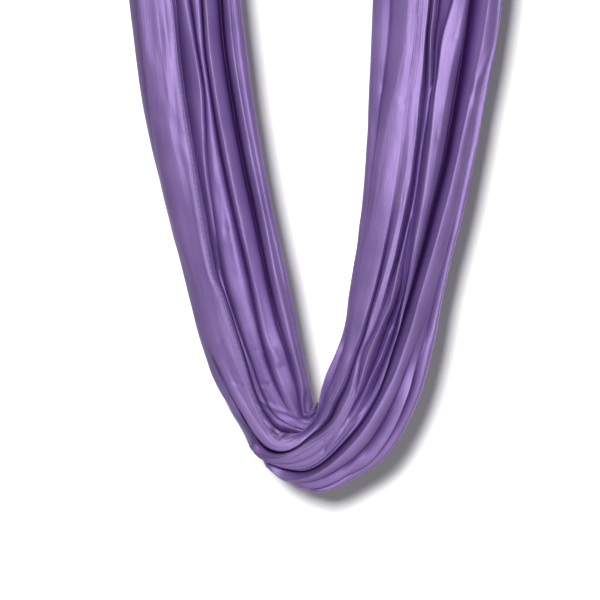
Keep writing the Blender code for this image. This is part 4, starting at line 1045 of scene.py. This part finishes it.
def eye_path(x):
    """The eye's middle line, a half circle over the bar and down to the neck on both sides, with
    the directions of its width and thickness and half of each."""
    radius = BAR_RADIUS + GAP + EYE_TOP[1]
    foot = EYE_FOOT[1] + GAP / 2
    down = np.linspace(-EYE_DROP, 0, 60)[:-1]
    share = smooth(0, 1, -down / EYE_DROP)
    over = np.linspace(0, math.pi, 60)
    y = np.concatenate([radius + (foot - radius) * share, radius * np.cos(over),
                        -(radius + (foot - radius) * share)[::-1]])
    z = np.concatenate([down, radius * np.sin(over), down[::-1]]) + BASKET_Z
    turn = np.concatenate([0 * down, over, 0 * down + math.pi])
    spread = np.concatenate([share, 0 * over, share[::-1]])
    centre = np.stack([x + 0 * y, y, z], 1)
    wide = np.tile((1.0, 0.0, 0.0), (len(y), 1))
    thick = np.stack([0 * turn, np.cos(turn), np.sin(turn)], 1)
    return centre, wide, thick, *(np.outer(EYE_TOP, 1 - spread) + np.outer(EYE_FOOT, spread))


def wrap_path(x):
    """The choke wrap's middle line, a helix round the oval neck from behind it."""
    count = 240
    angle = math.pi / 2 + np.linspace(0, WRAP_TURNS * 2 * math.pi, count)
    half = np.array([NECK_WIDTH, NECK_DEPTH]) / 2 + GAP + WRAP_HALF
    centre = np.stack([x + half[0] * np.cos(angle), half[1] * np.sin(angle),
                       np.linspace(WRAP_TOP, WRAP_END, count)], 1)
    out = unit(np.stack([half[1] * np.cos(angle), half[0] * np.sin(angle), 0 * angle], 1))
    up = np.tile((0.0, 0.0, 1.0), (count, 1))
    return centre, out, up, np.full(count, WRAP_HALF), np.full(count, WRAP_HALF_HEIGHT)


def gathered_rope(name, path, folds, seed, material):
    """Cloth gathered into a rope: an oval carried along a path, its radius cut in by narrow
    creases: 1 less a share, from 2% to 18%, of (1 - |cos|) with folds lobes round. The creases
    turn and drift along the path, and small dents take up to 3% more."""
    centre, wide, thick, half_wide, half_thick = path
    sides = folds * 8
    angle = np.linspace(0, 2 * math.pi, sides, endpoint=False)[None, :]
    c, s = np.cos(angle), np.sin(angle)
    run = running(np.linalg.norm(np.diff(centre, axis=0), axis=1))[:, None]
    drift = noise(2 + c * 1.7, s * 1.7 + run / 0.045, seed) * 1.1
    lobe = np.abs(np.cos(folds * angle / 2 + drift + run * 6)) ** 0.7
    deep = 0.10 + 0.08 * noise(c * 2.5, s * 2.5 + run / 0.03, seed + 20)
    dents = 0.03 * (1 + noise(c, run / 0.012, seed + 30)) / 2
    size = 1 - deep * (1 - lobe) - dents
    a = (size * c * half_wide[:, None])[..., None] * wide[:, None, :]
    b = (size * s * half_thick[:, None])[..., None] * thick[:, None, :]
    points = centre[:, None, :] + a + b
    uv = np.stack(np.broadcast_arrays(angle * ROPE_RADIUS, run), -1)
    rows = len(centre)
    caps = [np.arange(sides)[None, :], (rows - 1) * sides + np.arange(sides)[None, ::-1]]
    faces = grid_faces(rows, sides, wrap=True)
    # Faces point outwards, whichever way round the width and thickness go.
    if np.cross(wide[0], thick[0]) @ (centre[1] - centre[0]) > 0:
        faces, caps = faces[:, ::-1], [cap[:, ::-1] for cap in caps]
    return make_piece(name, points.reshape(-1, 3), [faces, *caps], material, uv.reshape(-1, 2))


def pleated_tail(name, x, seed, material):
    """The free end of the cloth below the wrap: one sheet folded across in three layers, its
    pleats a cosine that opens and its layers an S in plan, from a gathered top to a wide end that
    leans back and whose edge is uneven."""
    rows, columns, layers = 70, 240, 3
    # Metres: the depth of all layers and how much less it is at the end, the depth of a pleat, how
    # far the end leans back and how uneven its edge is.
    layers_deep, closing, pleat_deep, leaning, uneven = 0.009, 0.002, 0.0062, 0.020, 0.0035
    down = np.linspace(0, 1, rows)[:, None]
    s = np.linspace(0, layers, columns)[None, :]
    opened = down * (2 - down)
    sweep = signed_power(-np.cos(math.pi * s), 0.75)
    half = (TAIL_GATHERED + (TAIL_OPEN - TAIL_GATHERED) * opened) * (1 - 0.06 * s / layers)
    layer = (s / layers - 0.5) * (layers_deep - closing * down) * (1 - 0.5 * sweep**2)
    pleat = pleat_deep * opened * np.cos(math.pi * 4.41 * sweep + s * 0.5)
    small = noise(s * 9, down * 2.2, seed) * 0.0011 + noise(s * 22, down * 5, seed + 3) * 0.0005
    behind = NECK_DEPTH / 2 + GAP / 2 + 0.006
    y = behind + leaning * down + layer + pleat + small * (0.3 + opened)
    edge = uneven * opened * (noise(s * 1.3, 0.5, seed + 4) - 0.6)
    z = TAIL_TOP - TAIL_LENGTH * down + edge
    points = np.stack(np.broadcast_arrays(x + sweep * half, y, z), -1)
    return make_piece(name, points.reshape(-1, 3), [grid_faces(rows, columns)[:, ::-1]], material,
                      developed(points).reshape(-1, 2))


class HAMMOCK_OT_declare(bpy.types.Operator):
    bl_idname = "hammock.declare"
    bl_label = "Declare the cloth"

    def execute(self, context):
        return {"FINISHED"}


class HAMMOCK_OT_hem(bpy.types.Operator):
    """Makes the overlocked hem along the front edge of the sling"""

    bl_idname = "hammock.hem"
    bl_label = "Hem"

    def execute(self, context):
        bundle = Bundle()
        outer, _ = sheet_points(bundle, ring_runs(bundle))
        wide = context.scene.hammock_sizes.hem_width
        piece = edge_strip("front_hem", outer[:, :HEM_COLUMNS], wide, HEM_THICKNESS,
                           overlocked_hem(context.scene.hammock_colours))
        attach(piece, "sling")
        return {"FINISHED"}


def edge_strip(name, columns, wide, thick, material):
    """A flat tube along the first column of a grid: five points across, carried to where the
    distance over the cloth reaches each share of the width, and swelling to a thickness on either
    side along the cloth's normal."""
    steps = np.linalg.norm(np.diff(columns, axis=1), axis=2)
    reach = running(steps)
    shares = np.linspace(0, 1, 5)
    rows = np.arange(len(columns))
    spots = []
    for share in shares:
        goal = share * wide
        k = np.clip((reach <= goal).sum(axis=1) - 1, 0, columns.shape[1] - 2)
        f = np.clip((goal - reach[rows, k]) / np.maximum(steps[rows, k], 1e-9), 0, 1)
        spots.append(columns[rows, k] * (1 - f)[:, None] + columns[rows, k + 1] * f[:, None])
    spots = np.stack(spots, 1)
    ahead = unit(np.gradient(spots, axis=0))
    aside = unit(np.gradient(spots, axis=1))
    normal = unit(np.cross(ahead, aside))
    swell = thick * (0.6 + 0.4 * np.sin(math.pi * shares))[None, :, None]
    ring = np.concatenate([spots + normal * swell, (spots - normal * swell)[:, ::-1]], 1)
    v = running(np.linalg.norm(np.diff(spots[:, 0], axis=0), axis=1))
    u = np.concatenate([shares, shares[::-1]]) * wide
    uv = np.stack(np.broadcast_arrays(u[None, :], v[:, None]), -1)
    n = ring.shape[1]
    caps = [np.arange(n)[None, ::-1], np.arange(n)[None, :] + (len(ring) - 1) * n]
    return make_piece(name, ring.reshape(-1, 3), [grid_faces(len(ring), n, wrap=True), *caps],
                      material, uv.reshape(-1, 2))


class HAMMOCK_OT_metal(bpy.types.Operator):
    """Finishes the carabiners, sleeves, pins and springs"""

    bl_idname = "hammock.metal"
    bl_label = "Carabiners"

    def execute(self, context):
        finishes = {
            "carabiner_frame": polished_aluminium(),
            "lock_sleeve": anodised_aluminium(),
            "gate_hinge_pin": stainless_steel(),
        }
        finishes["carabiner_gate"] = finishes["carabiner_frame"]
        for name in ("gate_latch_pin", "gate_spring", "gate_plunger"):
            finishes[name] = finishes["gate_hinge_pin"]
        for side in ("left", "right"):
            for name, finish in finishes.items():
                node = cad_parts[f"{side}_{name}"]
                for slot in node.material_slots:
                    slot.material = finish
        return {"FINISHED"}


# The studio

VIEW_WIDTH = 1.2            # metres that the picture shows at the hammock
LAMP_TARGET = (0.37, 0, -1.8)
# Each lamp's name, place, width in metres and power in watts, and whether the paper is all that it
# reaches or is left out. The last one throws the hammock's shadow on the paper.
LAMPS = (
    ("key", (0.95, -3.3, -0.9), 0.9, 90.0, "EXCLUDE"),
    ("side", (-2.4, -1.8, -0.4), 1.2, 8.0, "EXCLUDE"),
    ("rear", (0.8, 3.0, -0.2), 3.2, 60.0, "EXCLUDE"),
    ("shadow", (0.10, -3.4, -1.54), 0.30, 205.0, "INCLUDE"),
)


class HAMMOCK_OT_studio(bpy.types.Operator):
    """Sets up the white sweep, the lamps and the camera"""

    bl_idname = "hammock.studio"
    bl_label = "Studio"

    def execute(self, context):
        scene = context.scene
        scene.view_settings.view_transform = "Standard"
        paper = sweep()
        for name, place, size, power, state in LAMPS:
            light = lamp(name, place, LAMP_TARGET, size, power)
            group = bpy.data.collections.new(f"paper_for_{name}")
            group.objects.link(paper)
            group.collection_objects[0].light_linking.link_state = state
            light.light_linking.receiver_collection = group
        world = bpy.data.worlds.new("studio_air")
        scene.world = world
        world.use_nodes = True
        tree = world.node_tree
        path = add(tree, "ShaderNodeLightPath")
        strength = add(tree, "ShaderNodeMapRange", {"Value": path.outputs["Is Camera Ray"]},
                       To_Min=0.05, To_Max=1.0)
        background = tree.nodes["Background"]
        background.inputs["Color"].default_value = linear("#FFFFFF")
        tree.links.new(strength.outputs[0], background.inputs["Strength"])
        distance = scene.hammock_sizes.camera_distance
        lens = bpy.data.cameras.new("view")
        lens.sensor_width = 36
        lens.lens = lens.sensor_width * distance / VIEW_WIDTH
        camera = bpy.data.objects.new("view", lens)
        scene.collection.objects.link(camera)
        camera.location = (PAPER_LEFT + VIEW_WIDTH / 2, -distance, PAPER_TOP - VIEW_WIDTH / 2)
        camera.rotation_euler = (math.radians(90), 0, 0)
        scene.camera = camera
        return {"FINISHED"}


def lamp(name, place, target, size, power):
    """A square soft box that faces its target."""
    light = bpy.data.lights.new(name, "AREA")
    light.size = size
    light.energy = power
    piece = bpy.data.objects.new(name, light)
    bpy.context.scene.collection.objects.link(piece)
    toward = np.subtract(target, place)
    piece.location = place
    piece.rotation_euler = (
        math.atan2(math.hypot(toward[0], toward[1]), -toward[2]), 0,
        math.atan2(toward[1], toward[0]) - math.pi / 2)
    return piece


def sweep():
    """White paper behind and below the hammock: a wall, a quarter round and a floor, carried
    straight from left to right."""
    wall, floor, radius = 0.42, -3.0, 0.5
    top, front, reach = 1.5, -9.0, 7.0
    turn = np.linspace(0, math.pi / 2, 17)
    y = np.concatenate([[wall], wall - radius + radius * np.cos(turn), [front]])
    z = np.concatenate([[top], floor + radius - radius * np.sin(turn), [floor]])
    x = np.array([-reach, reach])
    points = np.stack(np.broadcast_arrays(x[None, :], y[:, None], z[:, None]), -1)
    piece = make_piece("paper_sweep", points.reshape(-1, 3), [grid_faces(len(y), 2)],
                       studio_white("white_paper"))
    return piece


class HAMMOCK_PT_panel(bpy.types.Panel):
    """Lists the hammock's sizes, colours and pieces"""

    bl_idname = "HAMMOCK_PT_panel"
    bl_label = "Aerial yoga hammock"
    bl_space_type = "VIEW_3D"
    bl_region_type = "UI"
    bl_category = "Hammock"

    def draw(self, context):
        for group in (context.scene.hammock_sizes, context.scene.hammock_colours):
            for name in group.__annotations__:
                self.layout.prop(group, name)
        for operator in OPERATORS:
            self.layout.operator(operator.bl_idname)


OPERATORS = (HAMMOCK_OT_sling, HAMMOCK_OT_hem, HAMMOCK_OT_ends, HAMMOCK_OT_declare,
             HAMMOCK_OT_metal, HAMMOCK_OT_studio)
CLASSES = (HammockSizes, HammockColours, *OPERATORS, HAMMOCK_PT_panel)


def register():
    for cls in CLASSES:
        bpy.utils.register_class(cls)
    bpy.types.Scene.hammock_sizes = PointerProperty(type=HammockSizes)
    bpy.types.Scene.hammock_colours = PointerProperty(type=HammockColours)


def unregister():
    del bpy.types.Scene.hammock_colours
    del bpy.types.Scene.hammock_sizes
    for cls in reversed(CLASSES):
        bpy.utils.unregister_class(cls)


def main():
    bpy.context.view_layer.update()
    register()
    bpy.ops.hammock.sling()
    bpy.ops.hammock.hem()
    bpy.ops.hammock.ends()
    bpy.ops.hammock.declare()
    bpy.ops.hammock.metal()
    bpy.ops.hammock.studio()


if __name__ == "__main__":
    main()
